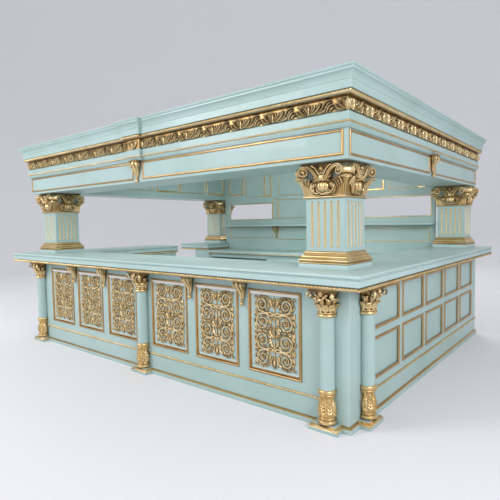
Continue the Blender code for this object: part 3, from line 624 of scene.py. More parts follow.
# %% Worktops
FRONT_LOW, FRONT_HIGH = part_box("worktop_front")
LEFT_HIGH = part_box("worktop_left")[1]
STUB_LOW, STUB_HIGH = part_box("worktop_stub")
TOP_X, TOP_Y, TOP_Z = FRONT_HIGH.x, -FRONT_LOW.y, FRONT_HIGH.z
RUN = FRONT_HIGH.y - FRONT_LOW.y
MITRE = 0.0004
NOSING = 0.0125
TOP_EDGE = (
    [(-0.020, TOP_Z - 0.110), (-0.020, TOP_Z - 0.086)]
    + arc(-0.006, TOP_Z - 0.090, 0.014, 180, 90, 5)
    + [(-0.006, TOP_Z - 0.074), (-0.006, TOP_Z - 0.040)]
    + arc(-0.009, TOP_Z - 0.040, 0.003, 0, 90, 4)
    + [(-0.014, TOP_Z - 0.036), (-0.014, TOP_Z - 0.027), (-0.011, TOP_Z - 0.025)]
    + arc(-NOSING, TOP_Z - NOSING, NOSING, -90, 90, 11))
ROPE_RADIUS = 0.0140
ROPE_DROP = 0.0960
ROPE_INSET = 0.0130
ROPE_LAY = 0.030


def mitred_plans():
    """The three long runs, drawn back from their mitres by a hair, and the stub."""
    x, y, end = TOP_X, TOP_Y, LEFT_HIGH.y
    inner_x, inner_y, hair = TOP_X - RUN, TOP_Y - RUN, MITRE
    return {
        "worktop_front": [
            (-x + hair, -y, 1), (x - hair, -y, 0), (inner_x - hair, -inner_y, 1),
            (-inner_x + hair, -inner_y, 0)],
        "worktop_right": [
            (x, -y + hair, 1), (x, y, 1), (inner_x, y, 1), (inner_x, -inner_y + hair, 0)],
        "worktop_left": [
            (-inner_x, -inner_y + hair, 1), (-inner_x, end, 1), (-x, end, 1), (-x, -y + hair, 0)],
        "worktop_stub": oblong(STUB_LOW.x, STUB_HIGH.x, STUB_LOW.y, STUB_HIGH.y)}


def rope_loop(corners, inset, z):
    """A closed line inside a plan's edge."""
    path = np.array([(x, y, z) for x, y in corners], float)
    return path - inset * corner_sides(path, np.array((0.0, 0.0, 1.0)), True)


for top_name, plan in mitred_plans().items():
    dress("edge_" + top_name, slab(plan, TOP_EDGE), PALER_LIT_PAINT, stands_for=(top_name,))

RUNS_OUTLINE = [
    (-TOP_X, LEFT_HIGH.y), (-TOP_X, -TOP_Y), (TOP_X, -TOP_Y), (TOP_X, TOP_Y), (TOP_X - RUN, TOP_Y),
    (TOP_X - RUN, RUN - TOP_Y), (RUN - TOP_X, RUN - TOP_Y), (RUN - TOP_X, LEFT_HIGH.y)]
STUB_OUTLINE = [
    point[:2] for point in loop(STUB_LOW.x, STUB_HIGH.x, STUB_LOW.y, STUB_HIGH.y)]
for rope_name, outline in (("runs", RUNS_OUTLINE), ("stub", STUB_OUTLINE)):
    strand = rope(rope_loop(outline, ROPE_INSET, TOP_Z - ROPE_DROP), ROPE_RADIUS, ROPE_LAY)
    dress("worktop_rope_" + rope_name, strand, GOLD, crease=75)
print("worktop edge points", len(TOP_EDGE), "rope", PIECES[-1].name)

# %% [markdown]
# ## Gilded beads
#
# Thin half-round beads frame every plain panel.  A joiner plants them on afterwards, mitred at
# the corners.  So here each frame is one closed band with a half-round section, let 2 mm into
# the board, and the whole side's frames are joined into one piece.

# %% Beads
RIGHT_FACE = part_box("right_carcass")[1].x
CANOPY_X, CANOPY_Y0, CANOPY_Y1 = 2.378, -1.793, 1.893
CANOPY_WALLS = {
    "front": (0, 0, CANOPY_Y0), "right": (90, CANOPY_X, 0), "back": (180, 0, CANOPY_Y1),
    "left": (270, -CANOPY_X, 0)}
PANEL_LOW, PANEL_HIGH = 1.984, 2.148
PANEL_BEAD = (0.019, 0.009)
PANEL_SPANS = {
    "front": [(-2.336, -0.079), (0.088, 2.339)],
    "right": [(-1.754, -0.024), (0.150, 1.850)],
    "back": [(-2.336, -0.079), (0.088, 2.336)],
    "left": [(-1.850, -0.150), (0.024, 1.754)]}
FIELD_STARTS = [-1.435 + 0.620 * index for index in range(5)]
FIELD_ROWS = ((0.288, 0.593), (0.685, 0.977))
FIELD_WIDE, FIELD_DEEP, FIELD_LAP = 0.515, 0.026, 0.004
FIELD_BEAD = (0.026, 0.010)


def half_round(width, height, sunk=0.002):
    """The section of a planted bead."""
    turn = np.linspace(0, math.pi, 9)
    top = [(width / 2 * math.cos(a), height * math.sin(a)) for a in turn]
    return top + [(-width / 2, -sunk), (width / 2, -sunk)]


def bead_frame(x0, x1, y0, y1, width, height=0.007, depth=0.0):
    """A mitred frame of half-round bead, drawn flat."""
    return band(loop(x0, x1, y0, y1, depth), half_round(width, height))


def canopy_frames():
    """Two long frames on each side of the canopy beam."""
    for side, spans in PANEL_SPANS.items():
        frames = [bead_frame(*span, PANEL_LOW, PANEL_HIGH, *PANEL_BEAD) for span in spans]
        place = on_wall(*CANOPY_WALLS[side], 0)
        dress("canopy_beads_" + side, joined(frames), LINE_GOLD, place)


def field_frames():
    """A bead round each of the ten square fields."""
    lap, far = FIELD_LAP, FIELD_WIDE + FIELD_LAP
    frames = [
        bead_frame(y - lap, y + far, z0 - lap, z1 + lap, *FIELD_BEAD)
        for y in FIELD_STARTS for z0, z1 in FIELD_ROWS]
    dress("field_beads", joined(frames), LINE_GOLD, on_wall(90, RIGHT_FACE - FIELD_DEEP, 0, 0))
    return len(frames)


canopy_frames()
print("frames on the canopy", sum(len(spans) for spans in PANEL_SPANS.values()))
print("frames on the fields", field_frames())

# %% [markdown]
# The two side beams are hollow and run through to the back, where their ends would stand open.
# A board let into each end closes it.  It sits half a millimetre back from the beam's face, so
# that the two faces never lie in one plane.

# %% Ends of the side beams
BEAM_HOLLOW_X = (1.938, 2.348)
BEAM_HOLLOW_Z = (1.980, 2.166)
BOARD_STEPS = ((0.0, -0.024), (0.0, -0.002), (0.0015, -0.0005))


def beam_ends():
    """A board with eased edges in the back end of each side beam."""
    (x0, x1), (z0, z1) = BEAM_HOLLOW_X, BEAM_HOLLOW_Z
    for side, start, end in (("right", -x1, -x0), ("left", x0, x1)):
        board = loft([
            loop(start + ease, end - ease, z0 + ease, z1 - ease, depth)
            for ease, depth in BOARD_STEPS])
        dress("beam_end_" + side, board, PAINT, on_wall(*CANOPY_WALLS["back"], 0))


beam_ends()
print("beam ends", PIECES[-1].name)

# %% [markdown]
# ## Lines round the foot
#
# A twisted bead runs round the counter at the height of a boot, and a small gilded moulding
# lies on the plinth.  The bead leaves out the right front corner, between the two columns
# beside it.  The path lists the outer corners of the boards in order, and the mitres come
# from the path.

# %% Lines
FACE_X, FACE_Y, LEFT_X = 2.410, -1.838, -2.196
BACK_END, LEFT_END = 1.790, 0.355
COLUMN_X, SIDE_COLUMN_Y = 2.251, -1.605
DADO_Z, DADO_OUT = 0.200, 0.001
DADO_RADIUS, DADO_LAY = 0.0115, 0.032
FOOT_MOULDING = [
    (0.0000, 0.0466), (0.0072, 0.0448), (0.0154, 0.0406), (0.0200, 0.0374), (0.0206, 0.0330),
    (0.0000, 0.0320)]


def faces_path(z, out=0.0):
    """The counter's outer faces from the staff entry round to the back right end."""
    return [
        (LEFT_X - out, LEFT_END, z), (LEFT_X - out, FACE_Y - out, z),
        (FACE_X + out, FACE_Y - out, z), (FACE_X + out, BACK_END, z)]


dado_line = faces_path(DADO_Z, DADO_OUT)
dado_left = dado_line[:2] + [(COLUMN_X, dado_line[1][1], DADO_Z)]
dado_right = [(dado_line[2][0], SIDE_COLUMN_Y, DADO_Z), dado_line[3]]
dado = [rope(line, DADO_RADIUS, DADO_LAY, closed=False) for line in (dado_left, dado_right)]
dress("dado_rope", joined(dado), GOLD, crease=60)
dress("foot_moulding", band(faces_path(0.0), FOOT_MOULDING, closed=False), LINE_GOLD)
print("lines round the foot at", DADO_Z)

# %% [markdown]
# ## Carving tools
#
# Four cuts make all the carving: a stem, a leaf, a ball and a rosette.  A stem is a tapering
# tube.  A leaf is a strip with a hollow midrib and a lobed edge, which bends along any curve.
# Modelling by sculpting or with a height picture would give softer forms, but a leaf that is
# a function can be set fifty times with other curves.

# %% Carving tools
LEAF_ACROSS = np.linspace(-1, 1, 9)
STEM_TURNS = circle(8)
ROSETTE_STEPS = (
    (0.95, -0.2), (1.0, 0.25), (0.78, 0.62), (0.48, 0.34), (0.34, 0.42), (0.26, 0.85), (0.12, 1.0))


def through(points, steps=6):
    """A smooth curve through a few points."""
    points = np.asarray(points, float)
    padded = np.concatenate([[2 * points[0] - points[1]], points, [2 * points[-1] - points[-2]]])
    share = np.linspace(0, 1, steps, endpoint=False)[:, None]
    path = []
    for a, b, c, d in zip(padded, padded[1:], padded[2:], padded[3:]):
        path.append(0.5 * (
            2 * b + (c - a) * share + (2 * a - 5 * b + 4 * c - d) * share ** 2
            + (3 * b - a - 3 * c + d) * share ** 3))
    return np.concatenate(path + [points[-1:]])


def flat(points, z=0.0):
    """Points of a drawing lifted to a depth."""
    return np.array([(x, y, z) for x, y in points], float)


def frame_along(path, out):
    """Sideways and outward directions at each point of a path."""
    steps = np.gradient(path, axis=0)
    steps /= np.linalg.norm(steps, axis=1)[:, None] + 1e-12
    side = np.cross(steps, np.broadcast_to(np.asarray(out, float), path.shape))
    side /= np.linalg.norm(side, axis=1)[:, None] + 1e-12
    return side, np.cross(side, steps)


def strip(path, side, out, across, up):
    """A loft whose ring at each point of a path is given by sideways and outward amounts."""
    rings = path[:, None] + side[:, None] * across[..., None] + out[:, None] * up[..., None]
    return loft(rings)


def stem(path, width, height, out=(0, 0, 1)):
    """A tube with a groove along its top; width and height may change along the path."""
    side, out = frame_along(path, out)
    along = np.ones(len(path))
    top = np.sin(STEM_TURNS)
    up = np.where(top > 0.9, 0.72, np.where(top < 0, 0.4 * top, top))
    across = (along * width)[:, None] * np.cos(STEM_TURNS)
    return strip(path, side, out, across, (along * height)[:, None] * up)


def leaf(path, width, height, lobes=4, out=(0, 0, 1), root=0.35):
    """An acanthus leaf: lobed edge, hollow midrib, veins, thick in the middle."""
    side, out = frame_along(path, out)
    along = np.linspace(0, 1, len(path))
    swell = np.sin(math.pi * (0.12 + 0.85 * along)) ** 0.8
    swell = np.maximum(swell, root * (1 - along))
    lobe = 0.70 + 0.30 * ((along * lobes) % 1.0)
    half = width * swell * lobe
    u = LEAF_ACROSS[None, :]
    veins = 0.16 * np.cos(2 * math.pi * (along[:, None] * lobes - 0.7 * np.abs(u)))
    body = 1.0 - 0.75 * u ** 2 - 0.40 * np.exp(-(u / 0.2) ** 2) + veins
    up = height * (swell ** 0.5)[:, None] * body
    low = np.full((len(path), 1), -0.35 * height)
    edge = half[:, None] * 0.9
    across = np.concatenate([half[:, None] * u, edge, -edge], axis=1)
    return strip(path, side, out, across, np.concatenate([up, low, low], axis=1))


def ball(place, radius, flatness=1.0, sides=8, rows=5):
    """A bead, flattened along the outward axis if wished."""
    angles = circle(sides)
    rings = []
    for tilt in np.linspace(-math.pi / 2 + 0.2, math.pi / 2 - 0.2, rows):
        lift = np.full(sides, math.tan(tilt) * flatness)
        ring = np.stack([np.cos(angles), np.sin(angles), lift], axis=1)
        rings.append(np.asarray(place) + ring * radius * math.cos(tilt))
    return loft(rings)


def rosette(place, radius, height, petals=5):
    """A round flower with a raised heart."""
    angles = circle(petals * 6)
    scallop = 1.0 + 0.14 * np.cos(petals * angles)
    rings = []
    for share, lift in ROSETTE_STEPS:
        wide = radius * share * (scallop if share > 0.4 else 1.0)
        level = np.full(len(angles), lift * height)
        ring = np.stack([np.cos(angles) * wide, np.sin(angles) * wide, level], axis=1)
        rings.append(np.asarray(place) + ring)
    return loft(rings)


def spiral(centre, radius, start, turns, inner=0.28, steps=26):
    """Points that wind in to a centre; start is in degrees and turns may be negative."""
    share = np.linspace(0, 1, steps)
    angle = math.radians(start) + 2 * math.pi * turns * share
    reach = radius * (1 - (1 - inner) * share ** 0.85)
    return np.stack([centre[0] + reach * np.cos(angle), centre[1] + reach * np.sin(angle)], axis=1)


MIRROR = Matrix.Diagonal((-1, 1, 1, 1))


def both_sides(form):
    """A form with its mirror image across the middle of the drawing."""
    return joined([form, form.moved(MIRROR)])


print("leaf sections", len(LEAF_ACROSS) + 2)

# %% [markdown]
# ## Carved panels
#
# The six panels are the bar's show-pieces: gilded scrollwork in openwork relief over a painted
# ground.  A carver pricks such a drawing through folded paper, so here too one half is made
# and then mirrored.  Four tiers of scrolls grow from a stem in the middle, each fills its
# circle with a rosette, and loose leaves fill what is left.

# %% Scrolls
GROUND = 0.0085
OUTER_LEAVES, INNER_LEAVES = 9, 5
VINE_WIDTHS, VINE_HEIGHTS = (0.0080, 0.0046), (0.020, 0.014)
HEART_SHARE, HEART_HEIGHT = 0.30, 0.022
TIERS = (
    (0.113, 0.130, 0.065, 100, -1.55, 0.205),
    (0.115, 0.276, 0.072, -100, 1.55, 0.205),
    (0.115, 0.424, 0.071, 100, -1.55, 0.492),
    (0.117, 0.566, 0.060, -100, 1.55, 0.492))


def leaf_off(centre, radius, angle, sweep, reach, width, height, lobes=4):
    """A leaf that leaves a circle at an angle and swings outwards from it."""
    shares = (0.0, 0.34, 0.68, 1.0)
    points = []
    for share in shares:
        turn = math.radians(angle + sweep * share)
        away = radius * (1 + (reach - 1) * share ** 1.4)
        points.append((centre[0] + away * math.cos(turn), centre[1] + away * math.sin(turn)))
    return leaf(through(flat(points, GROUND)), width, height, lobes)


def panel_scroll(x, y, radius, start, turns, root):
    """One scroll with its stem, rosette and the leaves round it."""
    hand = math.copysign(1, turns)
    winding = spiral((x, y), radius, start, turns)
    path = np.concatenate([[(0.004, root), (0.035, root - hand * 0.012)], winding])
    path = through(flat(path, GROUND), 2)
    width, height = (np.linspace(*ends, len(path)) for ends in (VINE_WIDTHS, VINE_HEIGHTS))
    forms = [stem(path, width, height)]
    forms.append(rosette((x, y, GROUND), radius * HEART_SHARE, HEART_HEIGHT))
    for index in range(OUTER_LEAVES):
        angle = -75 + 360 * index / OUTER_LEAVES
        reach = 1 + (0.014 + 0.005 * (index % 2)) / radius
        forms.append(leaf_off((x, y), radius, hand * angle, hand * 44, reach, 0.0125, 0.018))
    for index in range(INNER_LEAVES):
        angle = 20 + 360 * index / INNER_LEAVES
        forms.append(leaf_off((x, y), radius * 0.84, hand * angle, hand * 60, 0.56, 0.0085, 0.015, 3))
    return joined(forms)


half_panel = joined([panel_scroll(*tier) for tier in TIERS])
print("points in half a panel's scrolls", len(half_panel.points))

# %% [markdown]
# A stem climbs the middle of the panel, with a rosette where each pair of scrolls springs and
# a leaf at its foot, at its middle and at its top.  Loose leaves fill the corners and the edge.

# %% Panel middle
EDGE_LEAVES = (
    ((0.150, 0.196), (0.172, 0.192), (0.192, 0.206), (0.196, 0.226), 0.013),
    ((0.150, 0.202), (0.172, 0.208), (0.190, 0.192), (0.197, 0.172), 0.013),
    ((0.150, 0.344), (0.170, 0.340), (0.190, 0.352), (0.197, 0.374), 0.013),
    ((0.150, 0.346), (0.172, 0.352), (0.190, 0.338), (0.197, 0.318), 0.013),
    ((0.150, 0.488), (0.172, 0.484), (0.192, 0.496), (0.197, 0.516), 0.013),
    ((0.150, 0.490), (0.172, 0.498), (0.190, 0.484), (0.197, 0.464), 0.013),
    ((0.165, 0.605), (0.180, 0.618), (0.192, 0.622), (0.200, 0.612), 0.012),
    ((0.170, 0.078), (0.184, 0.066), (0.194, 0.066), (0.200, 0.078), 0.012),
    ((0.010, 0.150), (0.030, 0.122), (0.034, 0.092), (0.020, 0.066), 0.014),
    ((0.010, 0.545), (0.028, 0.570), (0.036, 0.596), (0.026, 0.622), 0.015),
    ((0.012, 0.590), (0.040, 0.606), (0.064, 0.622), (0.084, 0.618), 0.014),
    ((0.006, 0.300), (0.026, 0.322), (0.042, 0.350), (0.036, 0.384), 0.014),
    ((0.006, 0.392), (0.028, 0.374), (0.046, 0.348), (0.050, 0.318), 0.012),
    ((0.004, 0.226), (0.022, 0.238), (0.034, 0.262), (0.030, 0.290), 0.012),
    ((0.004, 0.468), (0.022, 0.456), (0.036, 0.434), (0.034, 0.408), 0.012))
MIDDLE_STEM = ((0, 0.056), (0, 0.25), (0, 0.45), (0, 0.60))
MIDDLE_ROSETTES = (
    (0.062, 0.012), (0.205, 0.017), (0.345, 0.016), (0.492, 0.017), (0.300, 0.011), (0.560, 0.012))
MIDDLE_LEAVES = ((0.130, 0.064, 0.016), (0.575, 0.628, 0.018), (0.358, 0.410, 0.015))


def panel_middle():
    """Loose leaves, mirrored, and the row of ornaments on the axis."""
    loose = [
        leaf(through(flat(points, GROUND)), width, 0.016, 4)
        for *points, width in EDGE_LEAVES]
    forms = [both_sides(joined(loose))]
    forms.append(stem(through(flat(MIDDLE_STEM, GROUND), 8), 0.006, 0.012))
    forms += [rosette((0, y, GROUND), radius, 0.021, 6) for y, radius in MIDDLE_ROSETTES]
    for root, tip, width in MIDDLE_LEAVES:
        spine = flat([(0, root), (0, (root + tip) / 2), (0, tip)], GROUND)
        forms.append(leaf(through(spine, 8), width, 0.020, 4))
    return joined(forms)


relief = joined([both_sides(half_panel), panel_middle()])
relief_mesh = mesh_of("panel_relief", relief, GOLD, 50)
print("points in one panel's relief", len(relief_mesh.vertices))

# %% [markdown]
# Each panel hangs in a frame: a gilded bead outside, a hatched slope inside it and a painted
# fillet round the ground.  A slope under the top rail is painted near white as a painted
# highlight, for the light it catches.  Frame and fillet are bands, like every moulding here.

# %% Panel frames
PANEL_HALF, PANEL_TALL = 0.260, 0.685
PANEL_OUTLINE = loop(-PANEL_HALF, PANEL_HALF, 0, PANEL_TALL)
FRAME_EDGE = [
    (0.0, 0.0), (0.0, 0.022), (-0.002, 0.027), (-0.006, 0.0305), (-0.011, 0.0305), (-0.015, 0.027),
    (-0.017, 0.023), (-0.017, 0.0)]
SLOPE_INSET, SLOPE_DEPTH, SLOPE_RADIUS, SLOPE_LAY = 0.0235, 0.0125, 0.0088, 0.022
FILLET_EDGE = [
    (-0.030, 0.0), (-0.030, 0.0150), (-0.034, 0.0150), (-0.038, 0.0120), (-0.042, 0.0088),
    (-0.042, 0.0)]
GROUND_EDGE = [(-0.001, 0.0), (-0.001, 0.006), (-0.036, GROUND), (-0.037, GROUND)]
BEVEL_EDGE = ((0.643, 0.006), (0.643, 0.0175), (0.648, 0.0215), (0.668, 0.0290), (0.672, 0.006))
BEVEL_HALF = 0.238
PANEL_NODES = sorted(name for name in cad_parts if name.startswith("carved_panel"))


def panel_frame():
    """The gilded frame with its hatched inner slope."""
    line = rope_loop([point[:2] for point in PANEL_OUTLINE], SLOPE_INSET, SLOPE_DEPTH)
    return joined([band(PANEL_OUTLINE, FRAME_EDGE), rope(line, SLOPE_RADIUS, SLOPE_LAY)])


def panel_ground():
    """The painted board behind the carving, with a fillet round it."""
    board = slab(oblong(-PANEL_HALF, PANEL_HALF, 0, PANEL_TALL), GROUND_EDGE)
    return joined([board, band(PANEL_OUTLINE, FILLET_EDGE)])


def panel_bevel():
    """The slope under the top rail of the frame, in near-white paint as a painted highlight."""
    return loft([[(x, y, z) for y, z in BEVEL_EDGE] for x in (-BEVEL_HALF, BEVEL_HALF)])


# The bevel's near-white paint is a painted highlight.
bevel_mesh = mesh_of("panel_bevel", panel_bevel(), HIGHLIGHT_PAINT)
frame_mesh = mesh_of("panel_frame", panel_frame(), LINE_GOLD, 50)
ground_mesh = mesh_of("panel_ground", panel_ground(), PAINT)
for number, node_name in enumerate(PANEL_NODES, 1):
    low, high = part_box(node_name)
    seat = on_wall(0, (low.x + high.x) / 2, high.y, low.z)
    add_piece(f"panel_ground_{number}", ground_mesh, seat, stands_for=(node_name,))
    add_piece(f"panel_frame_{number}", frame_mesh, seat)
    add_piece(f"panel_bevel_{number}", bevel_mesh, seat)
    add_piece(f"panel_relief_{number}", relief_mesh, seat)
print("carved panels", len(PANEL_NODES))

# %% [markdown]
# ## Columns
#
# Each column is half sunk in the boards: a painted shaft on a gilded vase, on a painted block
# with a gilded step.  A lathe gives the shape of the vase, and the carver then cuts leaves with
# slanting veins into it.  So the vase is a set of half rings, and a relief over angle and
# height pushes their points in and out.

# %% Columns
COLUMN_SINK = 0.0297
COLUMN_SHAFT = 0.056
PLAIN_STEPS, CARVED_STEPS = 33, 105
BELLY_LOW, BELLY_TALL, BELLY_VEINS = 0.104, 0.138, 5.5
TONGUE_Z, TONGUE_TALL = 0.252, 0.012
VASE = (
    (0.058, 0.049), (0.062, 0.053), (0.069, 0.058), (0.0705, 0.068), (0.069, 0.078), (0.060, 0.083),
    (0.056, 0.087), (0.061, 0.091), (0.062, 0.096), (0.055, 0.101), (0.053, 0.106), (0.060, 0.118),
    (0.065, 0.140), (0.066, 0.165), (0.061, 0.192), (0.053, 0.220), (0.048, 0.244), (0.050, 0.256),
    (0.060, 0.262), (0.062, 0.268), (0.059, 0.272), (0.064, 0.276), (0.067, 0.286), (0.065, 0.297),
    (0.058, 0.304), (0.050, 0.305))
BLOCK_STEP = [
    (-0.027, 0.0235), (-0.0003, 0.0235), (-0.0003, 0.0262), (-0.004, 0.0300), (-0.008, 0.0335),
    (-0.008, 0.0390), (-0.013, 0.0405), (-0.018, 0.0445), (-0.0235, 0.0485), (-0.027, 0.0485)]
BLOCK_HALF, BLOCK_FRONT = 0.117, -0.078
BLOCK_EDGE = (
    (0.0, 0.0003), (0.0, 0.0240), (-0.0245, 0.0245), (-0.0245, 0.0490), (-0.0255, 0.0500))
SHAFT_LINE = (
    (COLUMN_SHAFT, 0.300), (COLUMN_SHAFT, 0.45), (0.0553, 0.65), (0.0535, 0.800), (0.0535, 0.832))


def sunk_rings(profile, count, relief=None):
    """Half-sunk turning: rings of (radius, height) that end flat against the boards."""
    rings = []
    for radius, z in profile:
        past = math.asin(min(1.0, COLUMN_SINK / radius))
        angle = np.linspace(-math.pi / 2 - past, math.pi / 2 + past, count)
        reach = radius + (relief(angle, z) if relief else 0.0)
        deep = np.minimum(-reach * np.cos(angle), COLUMN_SINK)
        rings.append(np.stack([reach * np.sin(angle), deep, np.full(count, z)], axis=1))
    return loft(rings)


def vase_relief(angle, z):
    """Leaves with slanting veins on the belly, eight to the turn, and tongues under the collar."""
    u = 2 * ((angle * 4 / math.pi + 0.5) % 1.0) - 1
    up = (z - BELLY_LOW) / BELLY_TALL
    lift = np.zeros_like(angle)
    if 0 < up < 1:
        half = 0.86 * math.sin(math.pi * (0.14 + 0.80 * up)) ** 0.6
        inside = np.clip(1 - (u / half) ** 2, 0, 1)
        veins = np.cos(2 * math.pi * (up * BELLY_VEINS - np.abs(u)))
        midrib = 0.0040 * np.exp(-(u / 0.13) ** 2)
        lift = 0.0080 * inside ** 0.5 + 0.0056 * veins * inside ** 0.3 + midrib - 0.007
        lift = lift * min(1.0, up * 6, (1 - up) * 6)
        lift += 0.006 * math.exp(-((up - 0.11) / 0.08) ** 2) * np.exp(-(u / 0.38) ** 2)
    tongue = math.exp(-((z - TONGUE_Z) / TONGUE_TALL) ** 2)
    return lift + 0.010 * tongue * np.abs(np.cos(6 * angle))


def column_block():
    """The painted block with its narrower top."""
    plan = oblong(-BLOCK_HALF, BLOCK_HALF, BLOCK_FRONT, COLUMN_SINK, (1, 1, 0, 1))
    return slab(plan, BLOCK_EDGE)


def column_step():
    """The gilded step on three sides of the block."""
    path = [
        (-BLOCK_HALF, COLUMN_SINK, 0), (-BLOCK_HALF, BLOCK_FRONT, 0),
        (BLOCK_HALF, BLOCK_FRONT, 0), (BLOCK_HALF, COLUMN_SINK, 0)]
    return band(path, BLOCK_STEP, closed=False)


vase = sunk_rings(through(VASE, 4), CARVED_STEPS, vase_relief)
gilded_foot = mesh_of("column_foot", joined([vase, column_step()]), GOLD, 60)
shaft_form = joined([sunk_rings(SHAFT_LINE, PLAIN_STEPS), column_block()])
painted_shaft = mesh_of("column_shaft", shaft_form, PAINT)
print("vase points", len(vase.points))

# %% [markdown]
# ## Column capitals
#
# A Corinthian capital in small: a ring, a bell, two rows of leaves that bend out at their
# tips, a volute at each front corner and a square top.  A volute is a strap that rolls up, so
# its path is a spiral in an upright plane and its broad side lies across that plane.

# %% Capital
UP = np.array((0.0, 0.0, 1.0))
LOW_LEAVES = ((-96, -58, -20, 20, 58, 96), (0.058, 0.866), (0.094, 0.925), 0.023, 0.011, 4)
HIGH_LEAVES = ((-77, -39, 0, 39, 77), (0.058, 0.880), (0.106, 0.968), 0.025, 0.012, 5)
VOLUTE = ((0.066, 0.930), (0.124, 0.988), 0.030, 0.012, 0.0055)
EYE_STEPS = ((-1.35, 0.10), (-1.25, 0.22), (-1.0, 0.30), (1.0, 0.30), (1.25, 0.22), (1.35, 0.10))
CAPITAL_RING = (
    (0.054, 0.8306), (0.062, 0.832), (0.070, 0.837), (0.073, 0.845), (0.070, 0.853), (0.063, 0.857),
    (0.066, 0.861), (0.066, 0.866), (0.058, 0.870))
CAPITAL_BELL = (
    (0.056, 0.864), (0.057, 0.900), (0.062, 0.950), (0.072, 0.985), (0.088, 1.012), (0.088, 1.030))
CAPITAL_HALF = 0.100
CAPITAL_TOP = (
    (-0.022, 1.008), (-0.016, 1.012), (-0.008, 1.016), (-0.004, 1.020), (-0.004, 1.026),
    (0.0, 1.029), (0.0, 1.0394))
SHELL_CURVE = ((0.0, 0.955), (0.018, 0.975), (0.040, 0.992), (0.056, 1.002))


def raised(line, angle):
    """A line of (radius, z) stood up at an angle, its outward side, and the way it faces."""
    turn = math.radians(angle)
    away = np.array((math.sin(turn), -math.cos(turn), 0.0))
    slope = np.gradient(line, axis=0)
    slope /= np.linalg.norm(slope, axis=1)[:, None]
    path = line[:, :1] * away + line[:, 1:] * UP
    return path, slope[:, 1:] * away - slope[:, :1] * UP, away


def bent_leaf(angle, root, tip, width, height, lobes):
    """A leaf that climbs a bell from (radius, z) to (radius, z) and curls over at its tip."""
    (r0, z0), (r1, z1) = root, tip
    wide, tall = r1 - r0, z1 - z0
    line = through([
        (r0, z0), (r0 + 0.0024, z0 + tall * 0.45), (r0 + wide * 0.55, z1 - tall * 0.042),
        (r1 - wide * 0.10, z1), (r1, z1 - tall * 0.14)], 5)
    path, out, _ = raised(line, angle)
    return leaf(path, width, height, lobes, out, root=0.75)


def rolled_strap(angle, start, centre, radius, half_width, thickness):
    """A strap that rises from (radius, z) along a diagonal and rolls up round a centre."""
    roll = spiral(centre, radius, 100, -1.4, 0.30, 24)
    bend = ((start[0] + roll[0][0]) / 2, start[1] * 0.45 + roll[0][1] * 0.55)
    line = np.concatenate([through([start, bend, roll[0]], 4)[:-1], roll])
    path, out, away = raised(line, angle)
    strap = stem(path, np.linspace(half_width * 0.7, half_width, len(path)), thickness, -out)
    middle = centre[0] * away + centre[1] * UP
    across = np.cross(UP, away) * half_width
    spokes = [(away * math.cos(t) + UP * math.sin(t)) * radius for t in STEM_TURNS]
    eye = loft([
        [middle + across * along + spoke * reach for spoke in spokes] for along, reach in EYE_STEPS])
    return joined([strap, eye])


def column_capital():
    """Bell and square top of one column, and the ring, leaves, volutes and flower on them."""
    bell = sunk_rings(CAPITAL_BELL, PLAIN_STEPS)
    plan = oblong(-CAPITAL_HALF, CAPITAL_HALF, -CAPITAL_HALF, COLUMN_SINK, (1, 1, 0, 1))
    forms = [sunk_rings(through(CAPITAL_RING, 3), PLAIN_STEPS)]
    for angles, *shape in (LOW_LEAVES, HIGH_LEAVES):
        forms += [bent_leaf(angle, *shape) for angle in angles]
    forms += [rolled_strap(angle, *VOLUTE) for angle in (-45, 45)]
    forms.append(rosette((0, 0, 0), 0.020, 0.016, 6).moved(on_wall(0, 0, -0.088, 1.004)))
    for side in (-1, 1):
        curve = through(flat([(side * x, z) for x, z in SHELL_CURVE]))
        forms.append(leaf(curve, 0.011, 0.010).moved(on_wall(0, 0, -0.082, 0)))
    return joined([bell, slab(plan, CAPITAL_TOP)]), joined(forms)


capital_body, capital_carving = column_capital()
body_mesh = mesh_of("capital_body", capital_body, DARK_GOLD, 55)
capital_mesh = mesh_of("column_capital", capital_carving, GOLD, 55)
COLUMN_PLACES = {
    "front_left": (-2.037, -1.868, 0), "front_middle": (0.107, -1.868, 0),
    "front_right": (2.251, -1.868, 0), "side": (2.440, -1.605, 90)}
for side, (x, y, turn) in COLUMN_PLACES.items():
    seat = Matrix.Translation((x, y, 0)) @ turned(turn)
    add_piece("column_shaft_" + side, painted_shaft, seat, stands_for=("column_" + side,))
    add_piece("column_foot_" + side, gilded_foot, seat)
    add_piece("capital_of_column_" + side, capital_mesh, seat, stands_for=("column_capital_" + side,))
    add_piece("capital_body_of_column_" + side, body_mesh, seat)
print("column capital points", len(capital_mesh.vertices))

# %% [markdown]
# ## Brackets
#
# Small carved consoles stand between the panels, on the canopy and under the shelf.  Each has
# an S-shaped back, three narrow leaves that hang down its front, a volute on each cheek and a
# ball below.  One model is scaled to the three sizes.

# %% Brackets
CONSOLE_WIDE, CONSOLE_TALL, CONSOLE_DEEP = 0.112, 0.220, 0.103
CONSOLE_LINE = (
    (0.014, 0.050, 0.009), (0.022, 0.058, 0.013), (0.027, 0.074, 0.018), (0.032, 0.096, 0.023),
    (0.042, 0.121, 0.029), (0.060, 0.146, 0.035), (0.080, 0.165, 0.039), (0.090, 0.184, 0.041),
    (0.086, 0.200, 0.041), (0.080, 0.206, 0.041))
CONSOLE_FRONT = (
    (-1.0, 0.0), (-1.0, 0.80), (-0.55, 0.96), (0.0, 1.0), (0.55, 0.96), (1.0, 0.80), (1.0, 0.0))
CAP_OUTLINE = (
    (-0.050, 0.0), (-0.050, 0.092), (-0.044, 0.098), (0.044, 0.098), (0.050, 0.092), (0.050, 0.0))
CAP_STEPS = ((0.203, 0.90), (0.206, 0.98), (0.216, 1.0), (0.2196, 1.0))
CHEEK_CENTRE = (0.058, 0.176)
CHEEK_TAIL = ((0.016, 0.060), (0.020, 0.100), (0.028, 0.140))
